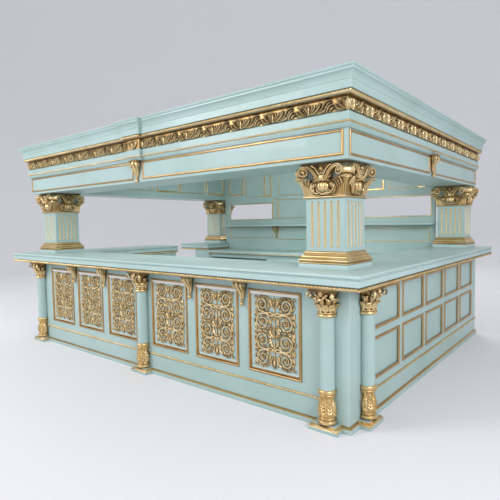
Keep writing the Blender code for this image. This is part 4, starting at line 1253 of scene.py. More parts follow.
CHEEK_SPREAD = (0.012, 0.022, 0.032, 0.039)


def console_body():
    """Back and cap of a console in full size, drawn flat: x across, y up and z outwards."""
    back = loft([
        [(half * x, height, reach * out) for x, out in CONSOLE_FRONT]
        for reach, height, half in through(CONSOLE_LINE, 3)])
    cap = loft([
        [(x * share, height, z * share) for x, z in CAP_OUTLINE] for height, share in CAP_STEPS])
    return joined([back, cap])


def console_carving():
    """Leaves, volutes and balls on the console."""
    line = through(CONSOLE_LINE, 3)
    down = np.stack([np.zeros(len(line)), line[:, 1], line[:, 0]], axis=1)[::-1]
    out = np.cross(np.gradient(down, axis=0), (1.0, 0, 0))
    out *= np.sign(out[:, 2:] + 1e-9)
    forms = [leaf(down, 0.019, 0.015, 6, out, root=0.9)]
    for side in (-1, 1):
        beside = down + (0, 0, -0.008)
        beside[:, 0] = side * (line[::-1, 2] - 0.006)
        forms.append(leaf(beside, 0.0095, 0.012, 6, out, root=0.9))
    roll = np.concatenate([CHEEK_TAIL, spiral(CHEEK_CENTRE, 0.030, 150, -1.5, 0.25)])
    for side in (-1, 1):
        cheek = through([(side * 0.041, height, reach) for reach, height in roll], 1)
        cheek[:4, 0] = side * np.array(CHEEK_SPREAD)
        forms.append(stem(cheek, 0.0060, 0.0070, (side, 0, 0)))
        forms.append(ball((side * 0.043, CHEEK_CENTRE[1], CHEEK_CENTRE[0]), 0.010))
    forms.append(ball((0, 0.0195, 0.0240), 0.0195, sides=14, rows=9))
    forms.append(ball((0, 0.0440, 0.0190), 0.0085, sides=12, rows=7))
    return joined(forms)


BRACKETS = [(f"worktop_bracket_{number}", 0) for number in range(1, 5)] + [
    ("canopy_bracket_front", 0), ("canopy_bracket_right", 90), ("canopy_bracket_left", 270),
    ("shelf_bracket_left", 0), ("shelf_bracket_right", 0)]
bracket_body, bracket_carving = console_body(), console_carving()
for node_name, turn in BRACKETS:
    low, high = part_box(node_name)
    size, middle = high - low, (low + high) / 2
    wide, deep = (size.y, size.x) if turn else (size.x, size.y)
    wall = {0: (middle.x, high.y), 90: (low.x, middle.y), 270: (high.x, middle.y)}[turn]
    scale = Matrix.Diagonal(
        (wide / CONSOLE_WIDE, size.z / CONSOLE_TALL, deep / CONSOLE_DEEP, 1))
    seat = on_wall(turn, *wall, low.z)
    dress("body_of_" + node_name, bracket_body.moved(scale), DARK_GOLD, seat, (node_name,), crease=50)
    dress("carving_of_" + node_name, bracket_carving.moved(scale), GOLD, seat, crease=50)
print("brackets", len(BRACKETS))

# %% [markdown]
# ## Piers
#
# The four piers stand on the worktop, each on a gilded base over a painted plinth.  Their
# shafts have five gilded flutes in every face, with round ends.  The shaft is one loft whose
# outline dips where a flute runs, and the gilding inside is a thin lining, so that its edge
# stays as crisp as a gilder's line.

# %% Pier base and shaft
PIER_HALF = 0.1655
PIER_PLAN = oblong(-PIER_HALF, PIER_HALF, -PIER_HALF, PIER_HALF)
SHAFT_LOW, SHAFT_HIGH = 1.2843, 1.6877
FLUTE_LOW, FLUTE_HIGH = 1.314, 1.666
FLUTE_RADIUS, FLUTE_PITCH = 0.0105, 0.0558
FLUTE_PLACES = [(index - 2) * FLUTE_PITCH for index in range(5)]
FLUTE_TURN = np.linspace(math.pi, 0, 7)
LINING_GAP, LINING_LEAST, LINING_SHARE = 0.0003, 0.0008, 0.86
PLINTH_SECTION = ((0.046, 1.1504), (0.046, 1.1850), (0.043, 1.1894), (0.030, 1.1896))
BASE_SECTION = (
    [(0.038, 1.1895), (0.047, 1.1900)] + arc(0.0425, 1.1955, 0.0055, -60, 90, 5)
    + [(0.040, 1.2030), (0.0400, 1.2070)] + arc(0.0395, 1.2155, 0.0085, -80, 60, 7)
    + [(0.0400, 1.2250), (0.0360, 1.2320), (0.0310, 1.2350), (0.0310, 1.2390)]
    + arc(0.0230, 1.2420, 0.0080, -10, 80, 5)
    + [(0.0180, 1.2560), (0.0130, 1.2640), (0.0110, 1.2660)]
    + arc(0.0060, 1.2740, 0.0070, -60, 80, 6) + [(0.0, 1.2836)])


def flute_depth(z):
    """Radius of a flute at a height, which closes in a quarter circle at both ends."""
    over = max(FLUTE_LOW + FLUTE_RADIUS - z, z - FLUTE_HIGH + FLUTE_RADIUS, 0.0)
    return math.sqrt(max(FLUTE_RADIUS ** 2 - over ** 2, 0.0))


def flute_heights():
    """Heights of the rings, close together at the flutes' ends."""
    turn = np.linspace(0, math.pi / 2, 5)
    low = [FLUTE_LOW + FLUTE_RADIUS * (1 - math.cos(a)) for a in turn]
    high = [FLUTE_HIGH - FLUTE_RADIUS * (1 - math.cos(a)) for a in turn][::-1]
    return low + high


def flute_line(place, radius):
    """The half circle of one flute across a face."""
    return [(place + radius * math.cos(a), radius * math.sin(a)) for a in FLUTE_TURN]


def fluted_shaft():
    """The painted shaft with twenty round-ended grooves."""
    rings = []
    for z in [SHAFT_LOW] + flute_heights() + [SHAFT_HIGH]:
        face = [(-PIER_HALF, -PIER_HALF)]
        for place in FLUTE_PLACES:
            face += [(x, dip - PIER_HALF) for x, dip in flute_line(place, flute_depth(z))]
        ring = []
        for quarter in range(4):
            c, s = math.cos(quarter * math.pi / 2), math.sin(quarter * math.pi / 2)
            ring += [(x * c - y * s, x * s + y * c, z) for x, y in face]
        rings.append(ring)
    return loft(rings)


def flute_linings():
    """Thin gilded linings for the twenty flutes."""
    forms = []
    for quarter in range(4):
        for place in FLUTE_PLACES:
            rings = []
            for z in flute_heights():
                radius = max(flute_depth(z) - LINING_GAP, LINING_LEAST)
                inner = flute_line(place, radius * LINING_SHARE)
                outline = flute_line(place, radius) + inner[::-1]
                rings.append([(x, dip - PIER_HALF, z) for x, dip in outline])
            forms.append(loft(rings).moved(turned(90 * quarter)))
    return joined(forms)


plinth_mesh = mesh_of("pier_plinth", slab(PIER_PLAN, PLINTH_SECTION), PALER_LIT_PAINT)
base_mesh = mesh_of("pier_base", slab(PIER_PLAN, BASE_SECTION), GOLD)
shaft_mesh = mesh_of("pier_shaft", fluted_shaft(), PAINT)
lining_mesh = mesh_of("flute_linings", flute_linings(), GOLD)
print("pier shaft points", len(shaft_mesh.vertices))

# %% [markdown]
# ## Pier capitals
#
# These are the finest carving on the bar.  A reeded leaf wraps every corner and its tip bends
# over.  A ribbed egg sits in the middle of each face between two C-scrolls.  Above it a collar
# ties two reeded straps, which run out beside a shell and end in volutes, and a plain bright
# bolster crosses each corner between two volutes.  Behind them lies a ground of dark gilding,
# with openings that show the painted bell as small patches of blue.

# %% Corner leaf and bolster
CORNER_REEDS = 6.5
LEAF_FOOT, LEAF_HEAD = 1.7150, 1.8360
LEAF_SPREAD, LEAF_THICK = 0.112, 0.010
SCROLL_X, SCROLL_Z, SCROLL_OUT = 0.150, 1.8830, 0.060
SCROLL_RADIUS = 0.0400
TIP_LINE = (
    (-0.044, -0.272, 1.836), (-0.022, -0.300, 1.838), (0.000, -0.312, 1.834),
    (0.022, -0.300, 1.838), (0.044, -0.272, 1.836))
BOLSTER = [
    (0.0340, 0.000), (0.0340, 0.010), (0.0346, 0.020), (0.0360, 0.027), (0.0380, 0.031),
    (0.0390, 0.034), (0.0375, 0.037), (0.0330, 0.038), (0.0200, 0.039)]


def corner_ring(s, inset):
    """One level of the leaf that wraps a corner, in the corner's own two faces."""
    bend = 0.006 + 0.020 * s + 0.032 * (max(s - 0.5, 0.0) * 2) ** 1.6
    points = []
    for u in np.linspace(-1, 1, 53):
        reed = abs(math.cos(math.pi * CORNER_REEDS * u)) ** 0.8
        top = 1.0 - 0.22 * abs(u) ** 1.5 - 0.07 * (1 - reed) * s ** 4
        reach = bend * (1 - 0.55 * abs(u) ** 1.2) + 0.0062 * reed * (1 - 0.3 * s) - inset
        along = PIER_HALF + reach - LEAF_SPREAD * abs(u)
        across = PIER_HALF + reach
        x, y = (across, along) if u > 0 else (along, across)
        points.append((x, -y, LEAF_FOOT + (LEAF_HEAD - LEAF_FOOT) * s * top))
    return points


def corner_leaf():
    """The wrapping leaf as a closed shell, with its tip bent over."""
    levels = np.concatenate([np.linspace(0, 0.8, 9), np.linspace(0.86, 1.0, 4)])
    shell = loft([corner_ring(s, 0.0) + corner_ring(s, LEAF_THICK)[::-1] for s in levels])
    tip = leaf(through(TIP_LINE, 5), 0.0165, 0.011, 2, (0.0, -1.0, 0.35), root=0.2)
    return joined([shell, tip.moved(turned(45))])


def bolster():
    """The plain bright roll that crosses a corner, waisted, with a collar at each end."""
    lathe = through([(radius, -along) for radius, along in BOLSTER[:0:-1]] + BOLSTER, 3)
    roll = loft([
        [(along, radius * math.cos(t), radius * math.sin(t)) for t in circle(28)]
        for radius, along in lathe])
    diagonal = (PIER_HALF + SCROLL_OUT + SCROLL_X) / math.sqrt(2)
    return roll.moved(turned(45) @ Matrix.Translation((0, -diagonal, SCROLL_Z)))


corner_forms = joined([corner_leaf(), bolster()])
print("corner points", len(corner_forms.points))

# %% [markdown]
# The middle of a face is drawn flat and then stood up against the bell.  The egg is a ribbed
# half ball, the C-scrolls and the straps are stems, and the shell is a fan of narrow leaves.

# %% Face of the capital
EGG_Z, EGG_WIDE, EGG_TALL, EGG_DEEP = 1.7740, 0.055, 0.049, 0.050
EGG_RIBS = 7
RIM_SPAN = (205, 335)
COLLAR_Z = 1.8370
FACE_LEAVES = (
    ((0.060, 1.716, 0.012), (0.076, 1.732, 0.016), (0.082, 1.752, 0.020), (0.078, 1.768, 0.030), 0.0085),
    ((0.078, 1.716, 0.012), (0.092, 1.736, 0.016), (0.094, 1.760, 0.024), (0.086, 1.784, 0.036), 0.0090),
    ((0.016, 1.716, 0.012), (0.032, 1.712, 0.014), (0.046, 1.718, 0.016), (0.054, 1.732, 0.018), 0.0070),
    ((0.092, 1.735, 0.014), (0.087, 1.757, 0.022), (0.078, 1.771, 0.034), (0.068, 1.776, 0.046), 0.0085),
    ((0.107, 1.755, 0.018), (0.102, 1.779, 0.028), (0.092, 1.794, 0.040), (0.081, 1.800, 0.052), 0.0090),
    ((0.123, 1.770, 0.022), (0.119, 1.796, 0.034), (0.110, 1.813, 0.046), (0.098, 1.820, 0.058), 0.0095),
    ((0.141, 1.780, 0.026), (0.139, 1.806, 0.040), (0.131, 1.825, 0.052), (0.118, 1.833, 0.064), 0.0100),
    ((0.160, 1.785, 0.030), (0.161, 1.810, 0.044), (0.155, 1.829, 0.058), (0.143, 1.839, 0.070), 0.0100),
    ((0.030, 1.830, 0.034), (0.050, 1.832, 0.040), (0.068, 1.842, 0.042), (0.080, 1.860, 0.040), 0.0085),
    ((0.026, 1.826, 0.034), (0.046, 1.820, 0.042), (0.064, 1.812, 0.044), (0.080, 1.814, 0.046), 0.0085))
SHELL_LEAVES = (
    ((0.004, 1.858), (0.006, 1.880), (0.006, 1.900), (0.012, 1.918), 0.0080),
    ((0.008, 1.858), (0.016, 1.878), (0.026, 1.902), (0.034, 1.926), 0.0080),
    ((0.012, 1.856), (0.026, 1.874), (0.040, 1.900), (0.052, 1.928), 0.0070))
STRAP_LINE = (
    (0.014, 1.822, 0.038), (0.034, 1.832, 0.044), (0.050, 1.854, 0.046), (0.068, 1.882, 0.048),
    (0.090, 1.904, 0.050), (0.116, 1.917, 0.052), (0.142, 1.920, 0.054), (0.160, 1.916, 0.058))
INNER_LINE = (
    (0.010, 1.850, 0.038), (0.026, 1.870, 0.044), (0.042, 1.896, 0.048), (0.060, 1.916, 0.050),
    (0.084, 1.930, 0.050))
GROUND_OUTLINE = (
    (0.000, 1.706), (0.168, 1.706), (0.170, 1.800), (0.118, 1.832), (0.066, 1.838), (0.078, 1.866),
    (0.106, 1.898), (0.150, 1.926), (0.000, 1.929))


C_CENTRE = (0.082, 1.781)
C_TAIL = ((0.036, 1.720), (0.066, 1.727), (0.088, 1.746), (0.099, 1.766))
COLLAR_OUTLINE = (
    (-0.018, -0.022), (0.018, -0.022), (0.026, -0.014), (0.020, -0.008), (0.020, 0.008),
    (0.026, 0.016), (0.020, 0.022), (-0.020, 0.022), (-0.026, 0.016), (-0.020, 0.008),
    (-0.020, -0.008), (-0.026, -0.014))
COLLAR_STEPS = ((0.0, 1.0), (0.046, 1.0), (0.054, 0.86), (0.057, 0.6))


def egg():
    """A half melon: level rings that bulge where a rib runs from pole to pole."""
    turn = np.linspace(-math.pi / 2, math.pi / 2, 43)
    rib = 1.0 + 0.20 * (np.abs(np.cos(EGG_RIBS * turn / 2)) ** 0.6 - 0.7)
    rings = []
    for tilt in np.linspace(-math.pi / 2 + 0.14, math.pi / 2 - 0.14, 15):
        share = math.cos(tilt) ** 0.85
        rings.append(np.stack([
            EGG_WIDE * share * rib * np.sin(turn), np.full(len(turn), EGG_Z + EGG_TALL * math.sin(tilt)),
            EGG_DEEP * share * rib * np.cos(turn)], axis=1))
    return loft(rings)


def egg_rim(widen, depth, width):
    """A stem that runs under the egg from one side to the other, open at the top."""
    turn = np.radians(np.linspace(*RIM_SPAN, 25))
    path = np.stack([
        (EGG_WIDE + widen) * np.cos(turn), EGG_Z + (EGG_TALL + widen) * np.sin(turn),
        np.full(len(turn), depth)], axis=1)
    return stem(path, width, 0.014)


def reeded_strap(path, width, height, reeds=2):
    """A flat strap with rounded reeds along it."""
    side, out = frame_along(path, (0, 0, 1))
    u = np.linspace(-1, 1, 8 * reeds + 1)
    top = 0.55 + 0.45 * np.abs(np.sin(math.pi * reeds * (u + 1) / 2))
    along = np.ones((len(path), 1))
    across = along * np.concatenate([u, [1.0, -1.0]]) * width
    return strip(path, side, out, across, along * np.concatenate([top, [-0.4, -0.4]]) * height)


def tilted_scroll():
    """The volute at the end of a strap, turned a little towards the corner, with its eye."""
    winding = spiral((SCROLL_X, SCROLL_Z), SCROLL_RADIUS, 100, -1.30, 0.40, 40)
    lift = SCROLL_OUT - 0.004 + 0.45 * (winding[:, 0] - SCROLL_X)
    path = np.concatenate([winding, lift[:, None]], axis=1)
    path[:3, 2] = np.maximum(path[:3, 2], 0.052)
    width = np.linspace(0.0100, 0.0052, len(path))
    eye = ball((SCROLL_X, SCROLL_Z, SCROLL_OUT + 0.002), 0.0125, sides=12, rows=7)
    return joined([stem(path, width, np.linspace(0.016, 0.012, len(path)), (-0.40, 0, 1)), eye])


def face_half():
    """Right half of the carving between two corners."""
    forms = [tilted_scroll()]
    for *points, width in FACE_LEAVES:
        forms.append(leaf(through(points, 5), width, 0.014, 4))
    for *points, width in SHELL_LEAVES:
        forms.append(leaf(through(flat(points, 0.036), 5), width, 0.018, 3))
    c_scroll = np.concatenate([C_TAIL, spiral(C_CENTRE, 0.0175, -20, 1.3, 0.3, 20)])
    forms.append(stem(through(flat(c_scroll, 0.030), 1), 0.0048, 0.014))
    forms.append(ball((*C_CENTRE, 0.036), 0.0062))
    forms.append(reeded_strap(through(STRAP_LINE, 5), 0.0125, 0.016))
    inner = through(INNER_LINE, 5)
    forms.append(stem(inner, np.linspace(0.0056, 0.0042, len(inner)), 0.012))
    return joined(forms)


def collar():
    """The knot that ties the straps together, with a lip above and below and two beads."""
    block = loft([
        [(x * share, COLLAR_Z + z * share, depth) for x, z in COLLAR_OUTLINE]
        for depth, share in COLLAR_STEPS])
    beads = [ball((side * 0.013, COLLAR_Z, 0.054), 0.0085) for side in (-1, 1)]
    return joined([block] + beads)


def capital_face():
    """Egg, rims, collar, shell and both halves of the carving, drawn flat on one face."""
    rims = [egg_rim(0.003, 0.018, 0.0036), egg_rim(0.0105, 0.012, 0.0034)]
    crest = ball((0, 1.906, 0.052), 0.0145, 0.9, 12, 7)
    return joined([both_sides(face_half()), egg(), collar(), crest] + rims)


face = capital_face()
print("face points", len(face.points))

# %% [markdown]
# The neck and the square top are slabs, like the worktops.  The bell is one too, and the dark
# ground follows its curve.  What is drawn for one corner and one face is repeated four times.

# %% Whole capital
NECK_SECTION = (
    [(-0.004, 1.6886), (0.010, 1.6886)] + arc(0.009, 1.6965, 0.0075, -70, 90, 8)
    + [(0.006, 1.7045), (0.006, 1.7160), (-0.004, 1.7170)])
BELL_SECTION = (
    (0.000, 1.7050), (0.002, 1.7600), (0.006, 1.8200), (0.014, 1.8800), (0.020, 1.9240), (0.026, 1.9300))
FACE_OUT = 0.004
GROUND_LIFTS = (-0.004, 0.0022)
# The square top is gilded dark as painted shade, for the shadow under the beam.
ABACUS_SECTION = (
    (0.020, 1.9290), (0.024, 1.9310), (0.026, 1.9360), (0.026, 1.9440), (0.029, 1.9460), (0.029, 1.9494))


def bell_reach(z):
    """How far the painted bell stands out at a height."""
    return np.interp(z, [height for _, height in BELL_SECTION], [reach for reach, _ in BELL_SECTION])


def face_ground():
    """The dark gilded ground behind the carving, which leaves two openings to the painted bell."""
    ring = list(GROUND_OUTLINE) + [(-x, z) for x, z in GROUND_OUTLINE[-2:0:-1]]
    return loft([[(x, z, bell_reach(z) + lift) for x, z in ring] for lift in GROUND_LIFTS])


def all_faces(form, out=0.0):
    """A form drawn on one face of a pier, moved out from it and repeated on all four."""
    return joined([
        form.moved(turned(90 * quarter) @ on_wall(0, 0, -PIER_HALF - out, 0))
        for quarter in range(4)])


neck, abacus_in_shade = slab(PIER_PLAN, NECK_SECTION), slab(PIER_PLAN, ABACUS_SECTION)
corners = joined([corner_forms.moved(turned(90 * quarter)) for quarter in range(4)])
carving_mesh = mesh_of("pier_capital", joined([neck, corners, all_faces(face, FACE_OUT)]), GOLD, 50)
bell_mesh = mesh_of("pier_bell", slab(PIER_PLAN, BELL_SECTION), PAINT)
# The square top joins the dark gilding as painted shade under the beam.
dark_mesh = mesh_of("capital_ground", joined([all_faces(face_ground()), abacus_in_shade]), DARK_GOLD)
PIER_PARTS = (
    ("plinth_of_pier_", plinth_mesh, "pier_base_"), ("gilt_base_of_pier_", base_mesh, ""),
    ("shaft_of_pier_", shaft_mesh, "pier_shaft_"), ("flute_linings_", lining_mesh, ""),
    ("capital_of_pier_", carving_mesh, "pier_capital_"), ("bell_of_pier_", bell_mesh, ""),
    ("capital_ground_", dark_mesh, ""))
for side in ("front_left", "front_right", "back_left", "back_right"):
    low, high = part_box("pier_shaft_" + side)
    seat = Matrix.Translation(((low.x + high.x) / 2, (low.y + high.y) / 2, 0))
    for prefix, mesh, node_prefix in PIER_PARTS:
        add_piece(prefix + side, mesh, seat, (node_prefix + side,) if node_prefix else ())
print("pier capital points", len(carving_mesh.vertices))

# %% [markdown]
# ## Cornice
#
# The cornice climbs in steps: three fine mouldings, a plain band, a recess for the frieze, a
# rope, a broad band and a cove under the top fillets.  Its front breaks forward over the middle
# bracket.  The four sides are slabs with mitred ends that lie where the solids lie.

# %% Cornice
BREAK_HALF, BREAK_OUT, BACKING = 0.085, 0.030, 0.035
CORNICE_MITRE = 0.0003
CORNICE_SECTION = (
    [(0.000, 2.1664), (0.010, 2.1664), (0.010, 2.1722), (0.0135, 2.1734), (0.0155, 2.1760),
     (0.0155, 2.1822), (0.0185, 2.1832), (0.0210, 2.1860), (0.0210, 2.1950), (0.0260, 2.1980),
     (0.0260, 2.2125), (0.0230, 2.2140), (0.0230, 2.2700), (0.0180, 2.2745), (0.0150, 2.2790),
     (0.0130, 2.2810), (0.0130, 2.3760), (0.0220, 2.3790), (0.0400, 2.3850)]
    + arc(0.0400, 2.3990, 0.0140, -80, 60, 6)
    + [(0.0560, 2.4130), (0.0620, 2.4150), (0.0620, 2.4730), (0.0660, 2.4760)]
    + [(0.0675, 2.4900), (0.0715, 2.5035), (0.0785, 2.5160), (0.0880, 2.5255), (0.0945, 2.5290)]
    + [(0.0945, 2.5440), (0.0985, 2.5460)] + arc(0.0965, 2.5560, 0.0085, -50, 70, 6) + [(0.0985, 2.5671)])
FRONT_OUTLINE = [
    (-CANOPY_X, CANOPY_Y0), (-BREAK_HALF, CANOPY_Y0), (-BREAK_HALF, CANOPY_Y0 - BREAK_OUT),
    (BREAK_HALF, CANOPY_Y0 - BREAK_OUT), (BREAK_HALF, CANOPY_Y0), (CANOPY_X, CANOPY_Y0)]
CANOPY_OUTLINE = FRONT_OUTLINE + [(CANOPY_X, CANOPY_Y1), (-CANOPY_X, CANOPY_Y1)]


def cornice_plans():
    """Plans of the four sides, drawn back from the mitres by a hair."""
    x, y0, y1, hair = CANOPY_X, CANOPY_Y0, CANOPY_Y1, CORNICE_MITRE
    back_x, back_y0, back_y1 = x - BACKING, y0 + BACKING, y1 - BACKING
    forward = [(*point, 1) for point in FRONT_OUTLINE[1:-1]]
    return {
        "cornice_front": [
            (-x + hair, y0, 1), *forward, (x - hair, y0, 0), (back_x - hair, back_y0, 0),
            (-back_x + hair, back_y0, 0)],
        "cornice_right": [
            (x, y0 + hair, 1), (x, y1 - hair, 0), (back_x, back_y1 - hair, 0),
            (back_x, back_y0 + hair, 0)],
        "cornice_back": [
            (x - hair, y1, 1), (-x + hair, y1, 0), (-back_x + hair, back_y1, 0),
            (back_x - hair, back_y1, 0)],
        "cornice_left": [
            (-x, y1 - hair, 1), (-x, y0 + hair, 0), (-back_x, back_y0 + hair, 0),
            (-back_x, back_y1 - hair, 0)]}


# Painted shade: a bronzed sheet lines the recess behind the frieze, where the rope shades it.
RECESS_SHADE_LINER = (
    (0.0125, 2.2812), (0.0142, 2.2812), (0.0142, 2.3740), (0.0226, 2.3772), (0.0404, 2.3830),
    (0.0440, 2.3850), (0.0400, 2.3856), (0.0220, 2.3796), (0.0125, 2.3765))
CORNICE_ROPES = (
    ("cornice_rope", 0.0500, 2.3990, 0.0145, 0.026, 60),
    ("cornice_bead", 0.0270, 2.2055, 0.0080, 0.022, 75))
shade_liner = band([(x, y, 0) for x, y in CANOPY_OUTLINE], RECESS_SHADE_LINER)
# The dark liner is painted shade in the recess.
dress("frieze_recess_shade", shade_liner, DARK_GOLD)
for side, plan in cornice_plans().items():
    dress("mouldings_of_" + side, slab(plan, CORNICE_SECTION), PAINT, stands_for=(side,), crease=30)
for rope_name, out, z, radius, lay, crease in CORNICE_ROPES:
    strand = rope(rope_loop(CANOPY_OUTLINE, -out, z), radius, lay)
    dress(rope_name, strand, GOLD, crease=crease)
print("cornice section points", len(CORNICE_SECTION))

# %% [markdown]
# ## Frieze
#
# A band of leaves runs all round in the recess.  One drawing of a foot's length is repeated: a
# fan stands on its root, long leaves sweep away from it, and others lean back from the next
# root to meet them.  They overlap like feathers, so no ground shows.  Each side holds a whole
# number of repeats, and the short break over the middle bracket holds one fan.

# %% Frieze
FRIEZE_LOW, FRIEZE_HIGH = 2.2800, 2.3640
FRIEZE_PERIOD = 0.310
FRIEZE_FIRST = 0.028
FAN_WIDE = 0.14
FAN_HEART, PLAIN_HEART = 0.013, 0.012
RECESS, BREAK_GAP = 0.013, 0.018
FRIEZE_FAN = (
    ((-0.004, 0.004), (-0.026, 0.026), (-0.048, 0.050), (-0.056, 0.074), 0.0120),
    ((-0.002, 0.004), (-0.014, 0.034), (-0.026, 0.060), (-0.030, 0.080), 0.0115),
    ((0.000, 0.002), (0.002, 0.032), (0.000, 0.058), (-0.004, 0.082), 0.0130),
    ((0.003, 0.004), (0.018, 0.034), (0.026, 0.058), (0.024, 0.080), 0.0120),
    ((0.008, 0.004), (0.034, 0.030), (0.048, 0.052), (0.052, 0.076), 0.0120))
FRIEZE_SWEEP = (
    ((0.020, 0.006), (0.052, 0.018), (0.080, 0.044), (0.098, 0.076), 0.0130),
    ((0.036, 0.004), (0.074, 0.014), (0.106, 0.038), (0.124, 0.066), 0.0130),
    ((0.056, 0.004), (0.094, 0.008), (0.130, 0.026), (0.146, 0.048), 0.0125),
    ((0.060, 0.044), (0.070, 0.056), (0.080, 0.068), (0.094, 0.080), 0.0090),
    ((0.118, 0.004), (0.134, 0.040), (0.156, 0.066), (0.182, 0.068), 0.0120),
    ((0.138, 0.004), (0.150, 0.030), (0.170, 0.048), (0.194, 0.046), 0.0120),
    ((0.110, 0.040), (0.122, 0.066), (0.146, 0.081), (0.176, 0.082), 0.0100),
    ((0.158, 0.004), (0.168, 0.018), (0.186, 0.028), (0.204, 0.024), 0.0110),
    ((0.290, 0.004), (0.262, 0.018), (0.240, 0.042), (0.234, 0.072), 0.0130),
    ((0.276, 0.004), (0.244, 0.010), (0.216, 0.028), (0.204, 0.056), 0.0120),
    ((0.258, 0.004), (0.228, 0.006), (0.205, 0.012), (0.190, 0.020), 0.0110),
    ((0.250, 0.050), (0.238, 0.062), (0.226, 0.070), (0.210, 0.080), 0.0100),
    ((0.300, 0.026), (0.286, 0.048), (0.270, 0.066), (0.246, 0.082), 0.0120),
    ((0.306, 0.050), (0.298, 0.062), (0.288, 0.072), (0.268, 0.084), 0.0100),
    ((0.238, 0.004), (0.223, 0.016), (0.215, 0.030), (0.214, 0.048), 0.0110))


def frieze_leaves(drawing, x, stretch):
    """The leaves of a drawing, moved along and stretched to fit a side."""
    forms = []
    for index, (*points, width) in enumerate(drawing):
        depth = 0.003 + 0.004 * (index % 3)
        line = [(x + along * stretch, FRIEZE_LOW + up, depth) for along, up in points]
        forms.append(leaf(through(line, 3), 0.74 * width, 0.019, 4, root=0.5))
    return forms


def frieze_strip(start, end):
    """Whole repeats between two ends; a short strip gets one fan in its middle."""
    length = end - start
    if length < FRIEZE_PERIOD:
        drawing, stretch, heart = FRIEZE_FAN, length / FAN_WIDE, FAN_HEART
        roots = [(start + end) / 2]
    else:
        count = round(length / FRIEZE_PERIOD)
        drawing, heart = FRIEZE_FAN + FRIEZE_SWEEP, PLAIN_HEART
        stretch = length / count / FRIEZE_PERIOD
        roots = [start + (FRIEZE_FIRST + index * FRIEZE_PERIOD) * stretch for index in range(count)]
    forms = []
    for root in roots:
        forms += frieze_leaves(drawing, root, stretch)
        forms.append(rosette((root, FRIEZE_LOW + 0.012, 0.012), heart, 0.014))
    return joined(forms)


def corner_cover():
    """A leaf that covers the mitre of the frieze."""
    path = through([(0, FRIEZE_LOW + 0.001, 0.010), (0, 2.325, 0.022), (0, FRIEZE_HIGH, 0.018)], 8)
    return leaf(path, 0.024, 0.016, 5)


FRIEZE_RUNS = {
    "front": [
        (-CANOPY_X, -BREAK_HALF - BREAK_GAP, 0), (-BREAK_HALF, BREAK_HALF, BREAK_OUT),
        (BREAK_HALF + BREAK_GAP, CANOPY_X, 0)],
    "right": [(CANOPY_Y0, CANOPY_Y1, 0)],
    "back": [(-CANOPY_X, CANOPY_X, 0)],
    "left": [(-CANOPY_Y1, -CANOPY_Y0, 0)]}
CANOPY_CORNERS = (
    (45, CANOPY_X, CANOPY_Y0), (135, CANOPY_X, CANOPY_Y1), (225, -CANOPY_X, CANOPY_Y1),
    (315, -CANOPY_X, CANOPY_Y0))
for side, spans in FRIEZE_RUNS.items():
    strips = [
        frieze_strip(start, end).moved(Matrix.Translation((0, 0, out + RECESS)))
        for start, end, out in spans]
    dress("frieze_" + side, joined(strips), GOLD, on_wall(*CANOPY_WALLS[side], 0), crease=50)
cover_mesh = mesh_of("frieze_corner", corner_cover(), GOLD, 50)
for number, corner in enumerate(CANOPY_CORNERS, 1):
    add_piece(f"frieze_corner_{number}", cover_mesh, on_wall(*corner, 0))
print("repeats on the right side", round((CANOPY_Y1 - CANOPY_Y0) / FRIEZE_PERIOD))

# %% [markdown]
# ## Back bar and the inside of the canopy
#
# The wall of the back bar has thin frames above and below its shelf, its windows have a bead
# round them, and the lining boards of the canopy are panelled too.  The two doors carry their
# own beads and knobs, each hung on a body named for its door.

# %% Inside frames
WALL_Y, LINING_X, LINING_Y = 1.620, 1.908, CANOPY_Y0 + 0.470
THICK, THIN = 0.028, 0.011
LINING_TOP = 2.440
CEILING_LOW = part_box("ceiling_panel")[0].z
COFFER_STARTS = [-1.800 + index * 1.240 for index in range(3)]
COFFER_WIDE, COFFER_SPAN, COFFER_BEAD = 1.120, (-1.200, 1.300), (0.020, 0.010)
INSIDE_FRAMES = [
    ("wall_frames", (0, 0, WALL_Y), [
        (-1.790, -0.810, 1.245, 1.436, THIN), (-0.655, 0.690, 1.225, 1.425, THIN),
        (0.780, 1.865, 1.215, 1.400, THIN), (-0.655, 0.690, 1.585, 1.900, THIN),
        (-0.785, -0.690, 1.585, 1.925, THIN), (-1.806, -0.800, 1.571, 1.856, THIN),
        (0.819, 1.891, 1.571, 1.856, THIN)]),
    ("lining_frames_back", (0, 0, WALL_Y), [
        (-1.783, -1.463, 2.035, LINING_TOP, THICK), (-1.391, -1.004, 1.975, LINING_TOP, THIN),
        (-0.953, -0.830, 1.975, LINING_TOP, THICK), (-0.640, 0.000, 1.975, LINING_TOP, THIN),
        (0.060, 0.660, 1.975, LINING_TOP, THIN), (0.850, 1.210, 1.975, LINING_TOP, THICK),
        (1.300, 1.640, 1.975, LINING_TOP, THIN), (1.720, 1.860, 1.975, LINING_TOP, THICK)]),
    ("lining_frames_front", (180, 0, LINING_Y), [
        (-1.800 + index * 0.730, -1.120 + index * 0.730, 1.995, LINING_TOP, THIN)
        for index in range(5)]),
    ("lining_frames_left", (90, -LINING_X, 0), [
        (-1.230, -0.820, 2.050, LINING_TOP, THICK), (-0.730, -0.091, 2.050, LINING_TOP, THIN),
        (0.002, 0.476, 2.050, LINING_TOP, THICK), (0.510, 1.078, 2.050, LINING_TOP, THIN),
        (1.156, 1.560, 2.050, LINING_TOP, THICK)]),
    ("lining_frames_right", (270, LINING_X, 0), [
        (-1.560 + index * 0.570, -1.080 + index * 0.570, 2.050, LINING_TOP, THICK)
        for index in range(5)])]
for frames_name, wall, frames in INSIDE_FRAMES:
    lines = joined([bead_frame(*sides, width) for *sides, width in frames])
    dress(frames_name, lines, GOLD, on_wall(*wall, 0))
coffers = joined([
    bead_frame(x, x + COFFER_WIDE, *COFFER_SPAN, *COFFER_BEAD) for x in COFFER_STARTS])
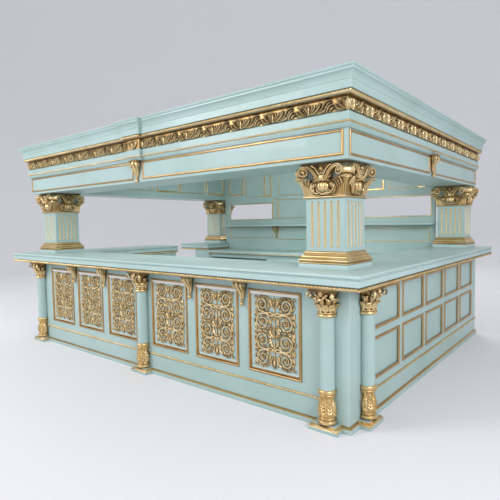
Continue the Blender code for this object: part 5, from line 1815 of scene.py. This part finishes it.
facing_down = Matrix.Diagonal((1, 1, -1, 1))
dress("ceiling_frames", coffers, GOLD, Matrix.Translation((0, 0, CEILING_LOW)) @ facing_down)
inside_count = sum(len(frames) for _, _, frames in INSIDE_FRAMES) + len(COFFER_STARTS)
print("inside frames", inside_count)

# %% [markdown]
# The back bar has a lower worktop and a shelf on the wall, both with a rounded edge, and a
# rope under the worktop.  The knobs are turned, so they are rings round an axis.

# %% Back bar
TOP_LOW, TOP_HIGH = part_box("back_bar_top")
SHELF_LOW, SHELF_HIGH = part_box("back_bar_shelf")
BACK_TOP_SECTION = (
    [(-0.014, TOP_LOW.z + 0.0002), (-0.006, TOP_LOW.z + 0.006), (-0.006, TOP_LOW.z + 0.018),
     (-0.001, TOP_LOW.z + 0.022)]
    + arc(-0.012, TOP_HIGH.z - 0.012, 0.012, -40, 90, 8))
SHELF_SECTION = (
    [(-0.008, SHELF_LOW.z)] + arc(-0.005, SHELF_LOW.z + 0.007, 0.005, -60, 60, 5)
    + [(-0.004, SHELF_LOW.z + 0.013)] + arc(-0.007, SHELF_HIGH.z - 0.007, 0.007, -60, 90, 6))
BACK_ROPE_IN, BACK_ROPE_RADIUS, BACK_ROPE_LAY = 0.01, 0.0085, 0.024
DOOR_BEADS = ((0.062, 0.018, 0.008, 0.0), (0.105, 0.008, 0.005, -0.006))
KNOB_LINE = (
    (0.016, 0.0004), (0.0165, 0.003), (0.012, 0.005), (0.007, 0.007), (0.0065, 0.010),
    (0.010, 0.013), (0.0145, 0.018), (0.015, 0.023), (0.011, 0.028), (0.004, 0.0298))
back_plan = oblong(TOP_LOW.x, TOP_HIGH.x, TOP_LOW.y, TOP_HIGH.y, (1, 0, 0, 0))
back_edge = slab(back_plan, BACK_TOP_SECTION)
dress("edge_back_bar_top", back_edge, PALER_LIT_PAINT, stands_for=("back_bar_top",))
shelf_plan = oblong(SHELF_LOW.x, SHELF_HIGH.x, SHELF_LOW.y, SHELF_HIGH.y, (1, 1, 0, 1))
dress("edge_shelf", slab(shelf_plan, SHELF_SECTION), PALER_LIT_PAINT, stands_for=("back_bar_shelf",))
rope_y, rope_z = TOP_LOW.y + 0.006, TOP_LOW.z + 0.0125
under_top = [
    (TOP_LOW.x + BACK_ROPE_IN, rope_y, rope_z), (TOP_HIGH.x - BACK_ROPE_IN, rope_y, rope_z)]
back_rope = rope(under_top, BACK_ROPE_RADIUS, BACK_ROPE_LAY, closed=False)
dress("back_bar_rope", back_rope, GOLD, crease=60)


def door_beads(low, high):
    """A wide bead and a narrow one on a door's front, drawn flat at the door's own place."""
    return joined([
        bead_frame(low.x + inset, high.x - inset, low.z + inset, high.z - inset, *bead)
        for inset, *bead in DOOR_BEADS])


def knob():
    """A turned knob on a rose."""
    return loft([
        [(radius * math.cos(t), radius * math.sin(t), out) for t in circle(24)]
        for radius, out in through(KNOB_LINE, 3)])


for side in ("left", "right"):
    door = side + "_door"
    low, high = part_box("back_bar_door_" + side)
    face_y = low.y
    dress("door_beads_" + side, door_beads(low, high), GOLD, on_wall(0, 0, face_y, 0), body=door)
    low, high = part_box("door_knob_" + side)
    centre = (low + high) / 2
    seat = on_wall(0, centre.x, high.y, centre.z)
    dress("turned_knob_" + side, knob(), GOLD, seat, ("door_knob_" + side,), door)
print("doors dressed at", round(face_y, 3))

# %% [markdown]
# ## Finishing
#
# The last cell gives the solids that still show their finishes.

# %% Finish
PAINTED = (
    "carcass", "architrave", "ceiling", "back_wall", "back_bar_base", "back_bar_door", "column",
    "pier_shaft", "worktop", "cornice")


def finish_for(node):
    """Paint or gilding, by the node's name."""
    if "capital" in node or "bracket" in node:
        return GOLD
    return PAINT if any(word in node for word in PAINTED) else GOLD


for node_name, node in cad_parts.items():
    node.data.materials.clear()
    node.data.materials.append(finish_for(node_name))
